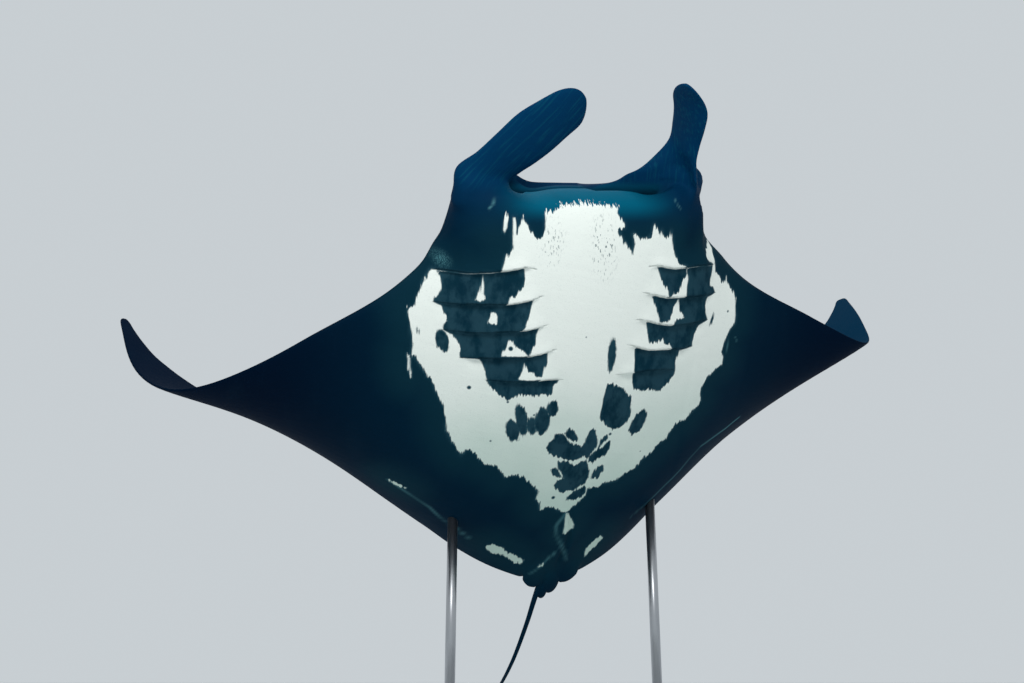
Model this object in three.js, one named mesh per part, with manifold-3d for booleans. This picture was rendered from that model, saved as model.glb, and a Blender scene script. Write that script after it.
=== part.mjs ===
// An oceanic manta ray (Mobula birostris) at life size, banking nose-up on a plain display stand.
// The animal is modelled whole in its own body axes: X to its left, Y towards the tail, Z to its
// back. The wings are drawn flat and then bent, the body is parted into its named pieces by thin
// cuts, and the whole is set on the stand. Millimetres, +Z up, origin under the middle of the base.
import * as THREE from 'three';
import { mergeVertices } from 'three/addons/utils/BufferGeometryUtils.js';
import Module from 'manifold-3d';

const wasm = await Module();
wasm.setup();

// ---------------------------------------------------------------- driving dimensions

const GAP = 0.4;                 // width of every cut between two pieces
const EVERYWHERE = 6000;         // larger than the animal, for boxes that reach right through it
const degrees = THREE.MathUtils.degToRad;

// Outline of the flat disc, as [distance from the midline, place along the body] pairs.
const HALF_SPAN = 2490;
const TIP_BACK = 410;
const FRONT_EDGE = [
  [0, -1025], [300, -1030], [480, -1050], [560, -1030], [595, -990], [610, -920], [635, -840],
  [690, -755], [785, -640], [950, -515], [1300, -345], [1750, -120], [2100, 95],
  [2200, 165], [2300, 240], [2400, 320], [2450, 360], [2475, 385], [HALF_SPAN, TIP_BACK],
];
const REAR_EDGE = [
  [0, 1060], [110, 1050], [250, 1010], [450, 945], [850, 745], [1250, 545], [1700, 410], [1900, 395],
  [2100, 365], [2200, 355], [2300, 370], [2400, 400], [2450, 420], [2475, 425], [HALF_SPAN, TIP_BACK],
];

// Thickness above and below the plane of the wings.
const BACK_HEIGHT = 262;
const BELLY_DEPTH = 205;
const WING_HALF_THICKNESS = 26;
const EDGE_HALF_THICKNESS = 4;
const LIP_HEIGHT = 24;
const CHIN_DEPTH = 78;

// How each wing is bent in the stroke. The slopes and the twist are in degrees.
const WINGS = {
  right: {
    side: -1,
    innerSlope: -10.5,
    outerSlope: 6,
    fold: 44,
    curl: { axis: 40, start: 1275, length: 900, angle: 55 },
  },
  left: {
    side: 1,
    innerSlope: -7,
    outerSlope: -12.5,
    fold: 36,
    curl: { axis: 19, start: 1305, length: 565, angle: 51 },
  },
};
const FOLD = { axis: 54, start: 517, length: 787 };
const FOLD_LINE_BACK = 150;
const NOSE_DOWN_TWIST = 15.5;
const TWIST_FROM = 500;
const TWIST_OVER = 1300;
const STIFF_HALF_WIDTH = 80;
const STIFF_FADE = 600;

// The banked attitude of the body and the height of its axes above the floor.
const NOSE_UP = 51.9;
const BANK = 13.2;
const HEADING = 6.2;
const BODY_HEIGHT = 1690;
const BODY_AHEAD = 40;
const BODY_ACROSS = 0;

// Stand.
const BASE = { width: 1900, depth: 1500, thickness: 45, corner: 120 };
const ROD = { radius: 25, across: 540, back: 610, sides: 20 };
const COLLAR = { radius: 75, height: 40 };

// ---------------------------------------------------------------- curves and solids

// A smooth step from 0 to 1.
function ramp(t) {
  const k = THREE.MathUtils.clamp(t, 0, 1);
  return k * k * (3 - 2 * k);
}

// A curve through the given [x, y] points that never overshoots them.
function curveThrough(points) {
  const slopes = points.slice(1).map((p, i) => (p[1] - points[i][1]) / (p[0] - points[i][0]));
  const tangents = points.map((p, i) => {
    if (i === 0) return slopes[0];
    if (i === points.length - 1) return slopes[i - 1];
    const product = slopes[i - 1] * slopes[i];
    return product > 0 ? (2 * product) / (slopes[i - 1] + slopes[i]) : 0;
  });
  return (x) => {
    let i = 0;
    while (i < points.length - 2 && x > points[i + 1][0]) i += 1;
    const span = points[i + 1][0] - points[i][0];
    const t = (x - points[i][0]) / span;
    const start = (1 + 2 * t) * (1 - t) ** 2 * points[i][1] + t * (1 - t) ** 2 * span * tangents[i];
    const end = t * t * (3 - 2 * t) * points[i + 1][1] - t * t * (1 - t) * span * tangents[i + 1];
    return start + end;
  };
}

// A closed geometry as a solid that can be joined and cut.
function solidOf(geometry) {
  const bare = geometry.clone();
  bare.deleteAttribute('normal');
  bare.deleteAttribute('uv');
  const merged = mergeVertices(bare, 1e-4);
  return new wasm.Manifold(new wasm.Mesh({
    numProp: 3,
    vertProperties: new Float32Array(merged.attributes.position.array),
    triVerts: new Uint32Array(merged.index.array),
  }));
}

function geometryOf(solid) {
  const mesh = solid.getMesh();
  const geometry = new THREE.BufferGeometry();
  geometry.setAttribute('position', new THREE.BufferAttribute(mesh.vertProperties, 3));
  geometry.setIndex(new THREE.BufferAttribute(mesh.triVerts, 1));
  geometry.computeVertexNormals();
  return geometry;
}

// A box between two corners; a missing limit reaches right through the animal.
function boxBetween({ x = [], y = [], z = [] }) {
  const [low, high] = [0, 1].map((end) => [x, y, z].map((limits) => (
    limits[end] ?? (end ? EVERYWHERE : -EVERYWHERE)
  )));
  const size = high.map((value, axis) => value - low[axis]);
  const middle = high.map((value, axis) => (value + low[axis]) / 2);
  return solidOf(new THREE.BoxGeometry(...size).translate(...middle));
}

// A closed skin over a row of rings that all have the same number of points. The first and the
// last ring are closed by a fan round their middle.
function loft(rings) {
  const count = rings[0].length;
  const points = rings.flat();
  const triangles = [];
  const addQuad = (a, b, c, d) => triangles.push(a, b, c, a, c, d);
  for (let r = 0; r < rings.length - 1; r += 1) {
    for (let i = 0; i < count; i += 1) {
      const next = (i + 1) % count;
      addQuad(r * count + i, r * count + next, (r + 1) * count + next, (r + 1) * count + i);
    }
  }
  [0, rings.length - 1].forEach((r) => {
    const middle = new THREE.Vector3();
    rings[r].forEach((point) => middle.addScaledVector(point, 1 / count));
    points.push(middle);
    for (let i = 0; i < count; i += 1) {
      const pair = [r * count + i, r * count + ((i + 1) % count)];
      if (r === 0) pair.reverse();
      triangles.push(...pair, points.length - 1);
    }
  });
  const geometry = new THREE.BufferGeometry().setFromPoints(points);
  geometry.setIndex(facingOut(points, triangles));
  return geometry;
}

// Turns all the triangles round when they face inwards, which makes their volume negative.
function facingOut(points, triangles) {
  let volume = 0;
  for (let i = 0; i < triangles.length; i += 3) {
    const [a, b, c] = triangles.slice(i, i + 3).map((corner) => points[corner]);
    volume += a.dot(new THREE.Vector3().crossVectors(b, c));
  }
  return volume < 0 ? triangles.reverse() : triangles;
}

// A flat blade or a tapered tube along a path: its ring is an ellipse, as wide and as thick as
// the two functions say.
function bladeAlong(path, steps, sides, width, thickness) {
  const rings = [];
  for (let s = 0; s <= steps; s += 1) {
    const u = s / steps;
    const along = path.getTangent(u);
    const across = new THREE.Vector3().crossVectors(along, new THREE.Vector3(0, 0, 1)).normalize();
    const up = new THREE.Vector3().crossVectors(across, along);
    rings.push(Array.from({ length: sides }, (_, i) => {
      const turn = (2 * Math.PI * i) / sides;
      return path.getPoint(u)
        .addScaledVector(across, (width(u) / 2) * Math.cos(turn))
        .addScaledVector(up, (thickness(u) / 2) * Math.sin(turn));
    }));
  }
  return loft(rings);
}

const vectors = (points) => points.map((point) => new THREE.Vector3(...point));

// ---------------------------------------------------------------- the disc, flat

const frontEdge = curveThrough(FRONT_EDGE);
const rearEdge = curveThrough(REAR_EDGE);

// How far a chord's surface stands off, from 0 at its edges to 1 at its thickest place.
function swell(chord, rise, fall) {
  const peak = rise / (rise + fall);
  return (chord ** rise * (1 - chord) ** fall) / (peak ** rise * (1 - peak) ** fall);
}

function backHeight(out, chord) {
  const body = BACK_HEIGHT * Math.exp(-((out / 800) ** 2.1)) * swell(chord, 0.55, 1.05);
  const wing = WING_HALF_THICKNESS * (1 - out / 2500) * swell(chord, 0.5, 1);
  const lip = EDGE_HALF_THICKNESS + LIP_HEIGHT * (1 - ramp((out - 480) / 200)) * (1 - chord) ** 3;
  return body + wing + lip;
}

function bellyDepth(out, chord) {
  const body = BELLY_DEPTH * Math.exp(-((out / 800) ** 2.6)) * swell(chord, 0.45, 0.95);
  const wing = WING_HALF_THICKNESS * (1 - out / 2500) * swell(chord, 0.5, 1);
  const chin = EDGE_HALF_THICKNESS + CHIN_DEPTH * (1 - ramp((out - 460) / 220)) * (1 - chord) ** 8;
  return body + wing + chin;
}

// ---------------------------------------------------------------- the bend of a wing

// Where a surface goes that turns upwards by the given angles along its length: the way out,
// the way up and the slope that it has reached.
function follow(distance, slopeAt) {
  const steps = 48;
  const step = distance / steps;
  let out = 0;
  let up = 0;
  for (let i = 0; i < steps; i += 1) {
    const slope = slopeAt((i + 0.5) * step);
    out += Math.cos(slope) * step;
    up += Math.sin(slope) * step;
  }
  return { out, up, slope: slopeAt(distance) };
}

// Rolls the part of a wing beyond a slanted line upwards. The line runs from the front and
// outside to the rear and inside, turned by the axis angle from straight fore and aft.
function rollUp(point, { axis, start, length, angle }) {
  const outward = [Math.cos(degrees(axis)), Math.sin(degrees(axis))];
  const beyond = (point.x - start) * outward[0] + (point.y - FOLD_LINE_BACK) * outward[1];
  if (beyond <= 0) return point;
  const beside = (point.y - FOLD_LINE_BACK) * outward[0] - (point.x - start) * outward[1];
  const { out, up, slope } = follow(beyond, (d) => degrees(angle) * ramp(d / length));
  const reach = out - point.z * Math.sin(slope);
  return new THREE.Vector3(
    start + reach * outward[0] - beside * outward[1],
    FOLD_LINE_BACK + reach * outward[1] + beside * outward[0],
    up + point.z * Math.cos(slope),
  );
}

// The head sits a little to its right on the neck.
const HEAD_SET = { right: 20, left: 32 };
function headSet(flat) {
  const beside = ramp((Math.abs(flat.x) - 380) / 150);
  const along = ramp((-660 - flat.y) / 120) * (1 - ramp((-950 - flat.y) / 100));
  const shift = flat.x < 0 ? HEAD_SET.right : HEAD_SET.left;
  return new THREE.Vector3(flat.x - shift * beside * along, flat.y, flat.z);
}

// Takes a point of the flat animal to its place on the bent one.
function bend(drawn) {
  const flat = headSet(drawn);
  const wing = flat.x < 0 ? WINGS.right : WINGS.left;
  const out = Math.abs(flat.x);
  const edge = frontEdge(Math.min(Math.max(out, 600), HALF_SPAN));
  const twist = degrees(NOSE_DOWN_TWIST) * ramp((out - TWIST_FROM) / TWIST_OVER);
  const behind = flat.y - edge;
  let point = new THREE.Vector3(
    out,
    edge + behind * Math.cos(twist) - flat.z * Math.sin(twist),
    flat.z * Math.cos(twist) + behind * Math.sin(twist),
  );
  point = rollUp(point, wing.curl);
  point = rollUp(point, { ...FOLD, angle: wing.fold });
  const slopeAt = (d) => (
    degrees(wing.innerSlope) * ramp((d - 500) / 900) + degrees(wing.outerSlope) * ramp((d - 1200) / 1000)
  );
  const arm = follow(point.x, slopeAt);
  point.x = arm.out - point.z * Math.sin(arm.slope);
  point.z = arm.up + point.z * Math.cos(arm.slope);
  const share = ramp((out - STIFF_HALF_WIDTH) / STIFF_FADE);
  point.lerpVectors(new THREE.Vector3(out, flat.y, flat.z), point, share);
  point.x *= wing.side;
  return point;
}

function bent(geometry) {
  const places = geometry.attributes.position;
  for (let i = 0; i < places.count; i += 1) {
    const place = bend(new THREE.Vector3().fromBufferAttribute(places, i));
    places.setXYZ(i, place.x, place.y, place.z);
  }
  return geometry;
}

// ---------------------------------------------------------------- the whole animal

// Distances from the midline at which the disc is drawn, closer at the head's sides and the tips.
function stations() {
  const list = [];
  for (let out = 0; out < 500; out += 120) list.push(out);
  list.push(560, 594, 630, 675, 725);
  for (let out = 800; out < 1700; out += 122) list.push(out);
  for (let out = 1700; out < 2350; out += 100) list.push(out);
  list.push(2360, 2420, 2455, 2475, 2486);
  return [...list.slice(1).reverse().map((out) => -out), ...list];
}

function disc() {
  const chords = 11;
  const rings = stations().map((x) => {
    const out = Math.abs(x);
    const front = frontEdge(out);
    const length = rearEdge(out) - front;
    const place = (i) => (1 - Math.cos((Math.PI * i) / chords)) / 2;
    const back = [];
    const belly = [];
    for (let i = 0; i <= chords; i += 1) {
      const chord = place(i);
      back.push(bend(new THREE.Vector3(x, front + chord * length, backHeight(out, chord))));
      belly.push(bend(new THREE.Vector3(x, front + chord * length, -bellyDepth(out, chord))));
    }
    return [...belly, ...back.reverse()];
  });
  return solidOf(loft(rings));
}

// The swelling at each side of the head that carries the eye.
const EYE_SWELLINGS = { right: [-525, -935, 0], left: [525, -925, 0] };
const SWELLING_RADII = [94, 190, 78];
function eyeSwelling(place) {
  return solidOf(bent(new THREE.SphereGeometry(1, 12, 8).scale(...SWELLING_RADII).translate(...place)));
}

// The head fins are cambered paddles, each drawn by its two edges and a line down its middle. The
// right one is spread wide and reaches across the mouth; the left one stands on edge, and its
// inner edge runs on as a web to the upper jaw.
const HEAD_FINS = {
  right: {
    inner: [[-370, -960, -30], [-380, -1000, -20], [-375, -1035, -20], [-340, -1080, -35],
      [-280, -1130, -60], [-210, -1190, -75], [-145, -1255, -85], [-80, -1310, -80], [-35, -1350, -70]],
    middle: [[-490, -920, -70], [-505, -1000, -60], [-500, -1070, -55], [-450, -1135, -70],
      [-380, -1205, -90], [-300, -1280, -110], [-225, -1335, -120], [-150, -1390, -120],
      [-85, -1425, -110]],
    outer: [[-605, -880, -30], [-630, -1005, -25], [-630, -1105, -35], [-550, -1185, -80],
      [-470, -1270, -100], [-390, -1355, -120], [-305, -1415, -140], [-215, -1465, -140],
      [-125, -1510, -130]],
    root: 70,
    thinInside: 0.5,
  },
  left: {
    inner: [[-45, -1000, 15], [75, -1030, 10], [155, -1060, 5], [250, -1095, 0], [335, -1160, 10],
      [390, -1240, -5], [375, -1330, -50], [340, -1410, -110], [300, -1470, -155], [260, -1520, -190]],
    middle: [[420, -970, 0], [430, -1010, -10], [440, -1050, -15], [450, -1100, -35], [445, -1160, -65],
      [430, -1215, -100], [415, -1290, -140], [390, -1370, -190], [355, -1445, -235],
      [300, -1515, -280]],
    outer: [[525, -870, -120], [520, -920, -135], [505, -975, -150], [480, -1035, -165],
      [460, -1100, -170], [445, -1165, -185], [440, -1240, -210], [425, -1325, -265],
      [405, -1410, -310], [335, -1495, -365]],
    root: 50,
    thinInside: 0,
  },
};
const FIN = { steps: 18, sides: 12, tip: 12, growth: 16, rootEnds: 0.42, roundFrom: 0.82 };
function headFin({ inner, middle, outer, root, thinInside }) {
  const [inside, centre, outside] = [inner, middle, outer].map((line) => (
    new THREE.CatmullRomCurve3(vectors(line), false, 'centripetal')
  ));
  const rings = [];
  for (let step = 0; step <= FIN.steps; step += 1) {
    const u = step / FIN.steps;
    const tip = Math.sqrt(Math.max(1 - (Math.max(u - FIN.roundFrom, 0) / (1.0005 - FIN.roundFrom)) ** 2, 0));
    rings.push(Array.from({ length: FIN.sides }, (_, i) => {
      const turn = (2 * Math.PI * i) / FIN.sides;
      const s = Math.cos(turn) * tip;
      const weigh = (a, b, c) => new THREE.Vector3()
        .addScaledVector(inside.getPoint(u), a)
        .addScaledVector(centre.getPoint(u), b)
        .addScaledVector(outside.getPoint(u), c);
      const across = weigh(s - 0.5, -2 * s, s + 0.5).normalize();
      const normal = across.cross(centre.getTangent(u)).normalize();
      const blade = (FIN.tip + FIN.growth * (1 - u)) * (0.4 + 0.6 * tip);
      const rooted = root * (1 - ramp(u / FIN.rootEnds))
        * (thinInside + (1 - thinInside) * ramp((s + 0.2) / 0.9));
      const half = Math.min(blade, FIN.tip + 50 * (1 + s)) + rooted;
      return weigh((s * (s - 1)) / 2, 1 - s * s, (s * (s + 1)) / 2)
        .addScaledVector(normal, half * Math.sin(turn));
    }));
  }
  return solidOf(bent(loft(rings)));
}

// The pelvic fins are short flaps beside the root of the tail, cut slantwise at their ends.
const PELVIC_CORNERS = { right: [-90, 1100, -12], left: [55, 1090, -12] };
function pelvicFin(name, side) {
  const path = new THREE.CatmullRomCurve3(vectors([
    [side * 100, 840, -30], [side * 100, 970, -22], PELVIC_CORNERS[name],
  ]), false, 'centripetal');
  const round = (u) => Math.sqrt(Math.max(1 - (Math.max(u - 0.45, 0) / 0.551) ** 2.2, 0));
  return solidOf(bladeAlong(
    path,
    9,
    12,
    (u) => 150 * round(u) + 0.1,
    (u) => (16 + 20 * (1 - u)) * (0.3 + 0.7 * round(u)),
  ));
}

// The small fin on the back at the root of the tail, a swept triangle of even thickness.
function dorsalFin() {
  const outline = new THREE.Shape();
  outline.moveTo(905, 20);
  outline.quadraticCurveTo(1000, 78, 1078, 108);
  outline.quadraticCurveTo(1102, 112, 1098, 92);
  outline.lineTo(1075, 10);
  outline.closePath();
  const blade = new THREE.ExtrudeGeometry(outline, {
    depth: 10, bevelEnabled: true, bevelThickness: 4, bevelSize: 3, bevelSegments: 1, curveSegments: 5,
  });
  const standing = new THREE.Matrix4().set(0, 0, 1, -25, 1, 0, 0, 0, 0, 1, 0, 0, 0, 0, 0, 1);
  return solidOf(blade.applyMatrix4(standing));
}

// The tail is a thin whip that trails back and swings a little to the right. It springs from two
// blunt knobs behind the back fin.
const TAIL_PATH = [
  [-20, 930, 10], [-55, 1090, 0], [-78, 1190, 0], [-108, 1330, 0], [-165, 1600, 30], [-212, 1850, 120],
  [-255, 2070, 270],
];
const TAIL_THICKNESS = { tip: 10, whip: 24, root: 22, rootFrom: 0.1, rootOver: 0.06 };
const TAIL_KNOBS = [
  { place: [0, 1050, 0], radii: [55, 105, 32] },
  { place: [-40, 1130, 4], radii: [30, 55, 24] },
];
function tail() {
  const { tip, whip, root, rootFrom, rootOver } = TAIL_THICKNESS;
  const thickness = (u) => tip + whip * (1 - u) ** 0.8 + root * (1 - ramp((u - rootFrom) / rootOver));
  const path = new THREE.CatmullRomCurve3(vectors(TAIL_PATH), false, 'centripetal');
  const whole = solidOf(bladeAlong(path, 26, 8, thickness, thickness));
  return TAIL_KNOBS.reduce((sum, { place, radii }) => (
    sum.add(solidOf(new THREE.SphereGeometry(1, 10, 6).scale(...radii).translate(...place)))
  ), whole);
}

// Five gill slits under each side, cut as narrow slanting slots. Each is given by its inner and
// outer end.
const GILL_SLITS = [
  [[270, -690], [695, -655]],
  [[245, -570], [705, -520]],
  [[215, -440], [665, -390]],
  [[175, -318], [585, -265]],
  [[130, -165], [480, -155]],
];
const SLIT = { width: 5, depth: 46, lean: 38 };
function gillSlit([inner, outer], side) {
  const from = bend(new THREE.Vector3(side * inner[0], inner[1], slitFloor(inner)));
  const to = bend(new THREE.Vector3(side * outer[0], outer[1], slitFloor(outer)));
  const length = from.distanceTo(to);
  const slot = new THREE.BoxGeometry(length, SLIT.width, 2 * SLIT.depth);
  slot.rotateX(degrees(SLIT.lean));
  const along = to.clone().sub(from).normalize();
  slot.applyQuaternion(new THREE.Quaternion().setFromUnitVectors(new THREE.Vector3(side, 0, 0), along));
  const middle = from.add(to).multiplyScalar(0.5);
  return solidOf(slot.translate(middle.x, middle.y, middle.z));
}
function slitFloor([out, back]) {
  const front = frontEdge(out);
  return -bellyDepth(out, (back - front) / (rearEdge(out) - front));
}

// The mouth is a wide low slot across the front of the head.
const MOUTH = { half: 345, front: -1060, rear: -965, floor: -34, roof: -8 };
function mouth() {
  return boxBetween({
    x: [-MOUTH.half, MOUTH.half], y: [MOUTH.front, MOUTH.rear], z: [MOUTH.floor, MOUTH.roof],
  });
}

const SIDES = { left: 1, right: -1 };
let animal = disc();
Object.entries(SIDES).forEach(([name, side]) => {
  animal = animal.add(eyeSwelling(EYE_SWELLINGS[name]));
  animal = animal.add(headFin(HEAD_FINS[name]));
  animal = animal.add(pelvicFin(name, side));
});
animal = animal.add(tail()).add(dorsalFin());
const outsideOnly = animal;
animal = animal.subtract(mouth());
GILL_SLITS.forEach((slit) => {
  Object.values(SIDES).forEach((side) => {
    animal = animal.subtract(gillSlit(slit, side));
  });
});

// ---------------------------------------------------------------- the pieces

const HIDE = { color: 0x10202c, roughness: 0.5, metalness: 0 };
const BELLY = { color: 0xdfe6e2, roughness: 0.5, metalness: 0 };
const EYE_FINISH = { color: 0x14120f, roughness: 0.08, metalness: 0 };
const STEEL = { color: 0xb9bdc1, roughness: 0.35, metalness: 1 };
const PAINT = { color: 0xc9ccce, roughness: 0.55, metalness: 0 };

function piece(name, geometry, finish) {
  const mesh = new THREE.Mesh(geometry, new THREE.MeshStandardMaterial(finish));
  mesh.name = name;
  return mesh;
}

const manta = new THREE.Group();
const addPart = (name, solid, finish) => manta.add(piece(name, geometryOf(solid), finish));
const half = GAP / 2;

// The cuts, in body axes.
const HEAD_CUT = -735;
const FIN_CUT = -1066;
const FLANK_CUT = 680;
const WING_CUTS = { right: [1250, 1800], left: [1250, 1760] };
const REAR_CUT = 1000;
const TAIL_ROOT = [-66, 62];
const DORSAL_REAR = 1130;
const TAIL_FREE = 1160;
const TAIL_CUTS = [1330, 1700];
const TAIL_SWING = 600;
const DORSAL_CUT = 46;
const JAW = { half: 349, rear: -850, top: -21 };
const EYES = { right: [-572, -985, 58], left: [572, -1010, 55] };
const EYE_RADIUS = 25;

const jawBox = (grow) => boxBetween({
  x: [-JAW.half - grow, JAW.half + grow], y: [FIN_CUT, JAW.rear + grow], z: [-EVERYWHERE, JAW.top + grow],
});
const eyeBall = (name, grow) => solidOf(bent(
  new THREE.SphereGeometry(EYE_RADIUS + grow, 12, 8).translate(...EYES[name]),
));

let head = animal.intersect(boxBetween({ y: [FIN_CUT + half, HEAD_CUT - half] }));
addPart('lower_jaw', head.intersect(jawBox(0)), HIDE);
head = head.subtract(jawBox(GAP));
Object.entries(SIDES).forEach(([name, side]) => {
  head = head.subtract(eyeBall(name, GAP));
  addPart(`eye_${name}`, eyeBall(name, 0), EYE_FINISH);
  const flank = side > 0 ? [0, EVERYWHERE] : [-EVERYWHERE, 0];
  const ahead = boxBetween({ x: flank, y: [-EVERYWHERE, FIN_CUT - half] });
  addPart(`cephalic_fin_${name}`, animal.intersect(ahead), HIDE);
});
addPart('head', head, HIDE);

const rearOfHead = [HEAD_CUT + half, EVERYWHERE];
addPart('trunk', animal.intersect(boxBetween({
  x: [-FLANK_CUT + half, FLANK_CUT - half], y: [HEAD_CUT + half, REAR_CUT - half],
})), BELLY);

Object.entries(SIDES).forEach(([name, side]) => {
  const lengths = ['inner', 'outer', 'tip'];
  const cuts = [FLANK_CUT, ...WING_CUTS[name], EVERYWHERE];
  lengths.forEach((length, i) => {
    const span = [cuts[i] + half, cuts[i + 1] - half].map((out) => side * out).sort((a, b) => a - b);
    addPart(`pectoral_${name}_${length}`, animal.intersect(boxBetween({ x: span, y: rearOfHead })), HIDE);
  });
  const flap = side > 0 ? [TAIL_ROOT[1] + half, FLANK_CUT] : [-FLANK_CUT, TAIL_ROOT[0] - half];
  const besideTail = boxBetween({ x: flap, y: [REAR_CUT + half, TAIL_FREE - half] });
  addPart(`pelvic_fin_${name}`, animal.intersect(besideTail), HIDE);
});

const dorsalBox = (grow) => boxBetween({
  x: [TAIL_ROOT[0] - grow, TAIL_ROOT[1] + grow],
  y: [REAR_CUT + half, DORSAL_REAR + grow],
  z: [DORSAL_CUT - grow, EVERYWHERE],
});
const tailBox = (from, to) => boxBetween({ x: [-TAIL_SWING, TAIL_SWING], y: [from + half, to - half] });
const tailRootBox = boxBetween({
  x: [TAIL_ROOT[0] + half, TAIL_ROOT[1] - half], y: [REAR_CUT + half, TAIL_FREE + GAP],
});
const tailBase = animal.intersect(tailRootBox.add(tailBox(TAIL_FREE, TAIL_CUTS[0])));
addPart('dorsal_fin', tailBase.intersect(dorsalBox(0)), HIDE);
addPart('tail_base', tailBase.subtract(dorsalBox(GAP)), HIDE);
addPart('tail_middle', animal.intersect(tailBox(...TAIL_CUTS)), HIDE);
addPart('tail_whip', animal.intersect(tailBox(TAIL_CUTS[1], EVERYWHERE)), HIDE);

manta.rotation.set(degrees(-NOSE_UP), degrees(-BANK), degrees(HEADING), 'ZXY');
manta.position.set(BODY_ACROSS, -BODY_AHEAD, BODY_HEIGHT);
manta.updateMatrix();

// ---------------------------------------------------------------- the stand

const stand = new THREE.Group();

function basePlate() {
  const { width, depth, thickness, corner } = BASE;
  const outline = new THREE.Shape();
  outline.moveTo(corner - width / 2, -depth / 2);
  outline.lineTo(width / 2 - corner, -depth / 2);
  outline.absarc(width / 2 - corner, corner - depth / 2, corner, -Math.PI / 2, 0);
  outline.absarc(width / 2 - corner, depth / 2 - corner, corner, 0, Math.PI / 2);
  outline.absarc(corner - width / 2, depth / 2 - corner, corner, Math.PI / 2, Math.PI);
  outline.absarc(corner - width / 2, corner - depth / 2, corner, Math.PI, 1.5 * Math.PI);
  return new THREE.ExtrudeGeometry(outline, { depth: thickness, bevelEnabled: false, curveSegments: 6 });
}
stand.add(piece('stand_base', basePlate(), PAINT));

const posed = solidOf(geometryOf(outsideOnly).applyMatrix4(manta.matrix));
const shadow = solidOf(geometryOf(outsideOnly).applyMatrix4(manta.matrix).translate(0, 0, -1.5 * GAP));
Object.entries(SIDES).forEach(([name, side]) => {
  const flat = new THREE.Vector3(side * ROD.across, ROD.back, 0);
  const top = bend(flat).applyMatrix4(manta.matrix);
  const foot = BASE.thickness + COLLAR.height + GAP;
  const collar = new THREE.CylinderGeometry(COLLAR.radius, COLLAR.radius, COLLAR.height, ROD.sides)
    .rotateX(Math.PI / 2)
    .translate(top.x, top.y, BASE.thickness + GAP + COLLAR.height / 2);
  stand.add(piece(`stand_collar_${name}`, collar, STEEL));
  const height = top.z - foot - GAP;
  const rod = new THREE.CylinderGeometry(ROD.radius, ROD.radius, height, ROD.sides)
    .rotateX(Math.PI / 2)
    .translate(top.x, top.y, foot + GAP + height / 2);
  stand.add(piece(`stand_rod_${name}`, geometryOf(solidOf(rod).subtract(shadow).subtract(posed)), STEEL));
});

const model = new THREE.Group();
model.add(manta, stand);
export default model;
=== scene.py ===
import math

import bmesh
import bpy
import numpy as np
from mathutils import Matrix, Vector
from mathutils.kdtree import KDTree


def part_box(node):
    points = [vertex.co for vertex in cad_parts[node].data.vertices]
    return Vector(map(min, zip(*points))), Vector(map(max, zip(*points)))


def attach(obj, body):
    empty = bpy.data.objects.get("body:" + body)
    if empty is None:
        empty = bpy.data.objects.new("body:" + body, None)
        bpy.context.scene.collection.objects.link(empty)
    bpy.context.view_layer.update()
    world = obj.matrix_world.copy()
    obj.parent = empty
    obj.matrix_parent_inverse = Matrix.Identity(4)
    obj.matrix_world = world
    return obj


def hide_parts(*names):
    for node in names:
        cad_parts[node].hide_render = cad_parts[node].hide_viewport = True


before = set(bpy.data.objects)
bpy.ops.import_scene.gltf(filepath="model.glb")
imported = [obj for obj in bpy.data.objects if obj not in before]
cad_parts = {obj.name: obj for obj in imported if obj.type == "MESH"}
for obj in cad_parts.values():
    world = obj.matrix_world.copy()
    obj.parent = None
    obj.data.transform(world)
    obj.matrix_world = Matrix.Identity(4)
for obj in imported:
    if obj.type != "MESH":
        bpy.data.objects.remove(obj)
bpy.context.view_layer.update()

# ---------------------------------------------------------------- the hide: the flat disc
# One hide covers the whole animal: thick over the gill baskets and thin as a board at the wings'
# edges. It is drawn flat first, X to the animal's left, Y towards the tail and Z to its back, in
# metres. The mouth is folded into the disc's front edge.

SPAN = 2.49                        # from the midline to a wing's tip
BACK_HEIGHT, BELLY_DEPTH = 0.262, 0.205
WING = 0.026                       # half the thickness of a wing at its root
EDGE = 0.004                       # half the thickness of a wing's edge
LIP_HEIGHT, CHIN_DEPTH = 0.024, 0.078
# The outline of each half, as distances from the midline and places along the body.
FRONT = [
    (0, -1.025), (0.3, -1.03), (0.48, -1.05), (0.56, -1.03), (0.595, -0.99), (0.61, -0.92),
    (0.635, -0.84), (0.69, -0.755), (0.785, -0.64), (0.95, -0.515), (1.3, -0.345),
    (1.75, -0.12), (2.1, 0.095), (2.2, 0.165), (2.3, 0.24), (2.4, 0.32), (2.45, 0.36),
    (2.475, 0.385), (SPAN, 0.41),
]
REAR = [
    (0, 1.06), (0.11, 1.05), (0.25, 1.01), (0.45, 0.945), (0.85, 0.745), (1.25, 0.545),
    (1.7, 0.41), (1.9, 0.395), (2.1, 0.365), (2.2, 0.355), (2.3, 0.37), (2.4, 0.4), (2.45, 0.42),
    (2.475, 0.425), (SPAN, 0.41),
]


def ramp(t):
    """A smooth step from 0 to 1."""
    k = np.clip(t, 0, 1)
    return k * k * (3 - 2 * k)


def curve_through(points):
    """A smooth curve through (x, y) points that never overshoots them."""
    x, y = np.array(points, float).T
    slope = np.diff(y) / np.diff(x)
    product = slope[:-1] * slope[1:]
    inner = np.where(product > 0, 2 * product / np.where(product > 0, slope[:-1] + slope[1:], 1), 0)
    tangent = np.concatenate([slope[:1], inner, slope[-1:]])

    def at(value):
        i = np.clip(np.searchsorted(x, value, side="right") - 1, 0, len(x) - 2)
        span = x[i + 1] - x[i]
        t = (value - x[i]) / span
        start = (1 + 2 * t) * (1 - t) ** 2 * y[i] + t * (1 - t) ** 2 * span * tangent[i]
        end = t * t * (3 - 2 * t) * y[i + 1] - t * t * (1 - t) * span * tangent[i + 1]
        return start + end

    return at


front_edge = curve_through(FRONT)
rear_edge = curve_through(REAR)


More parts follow.
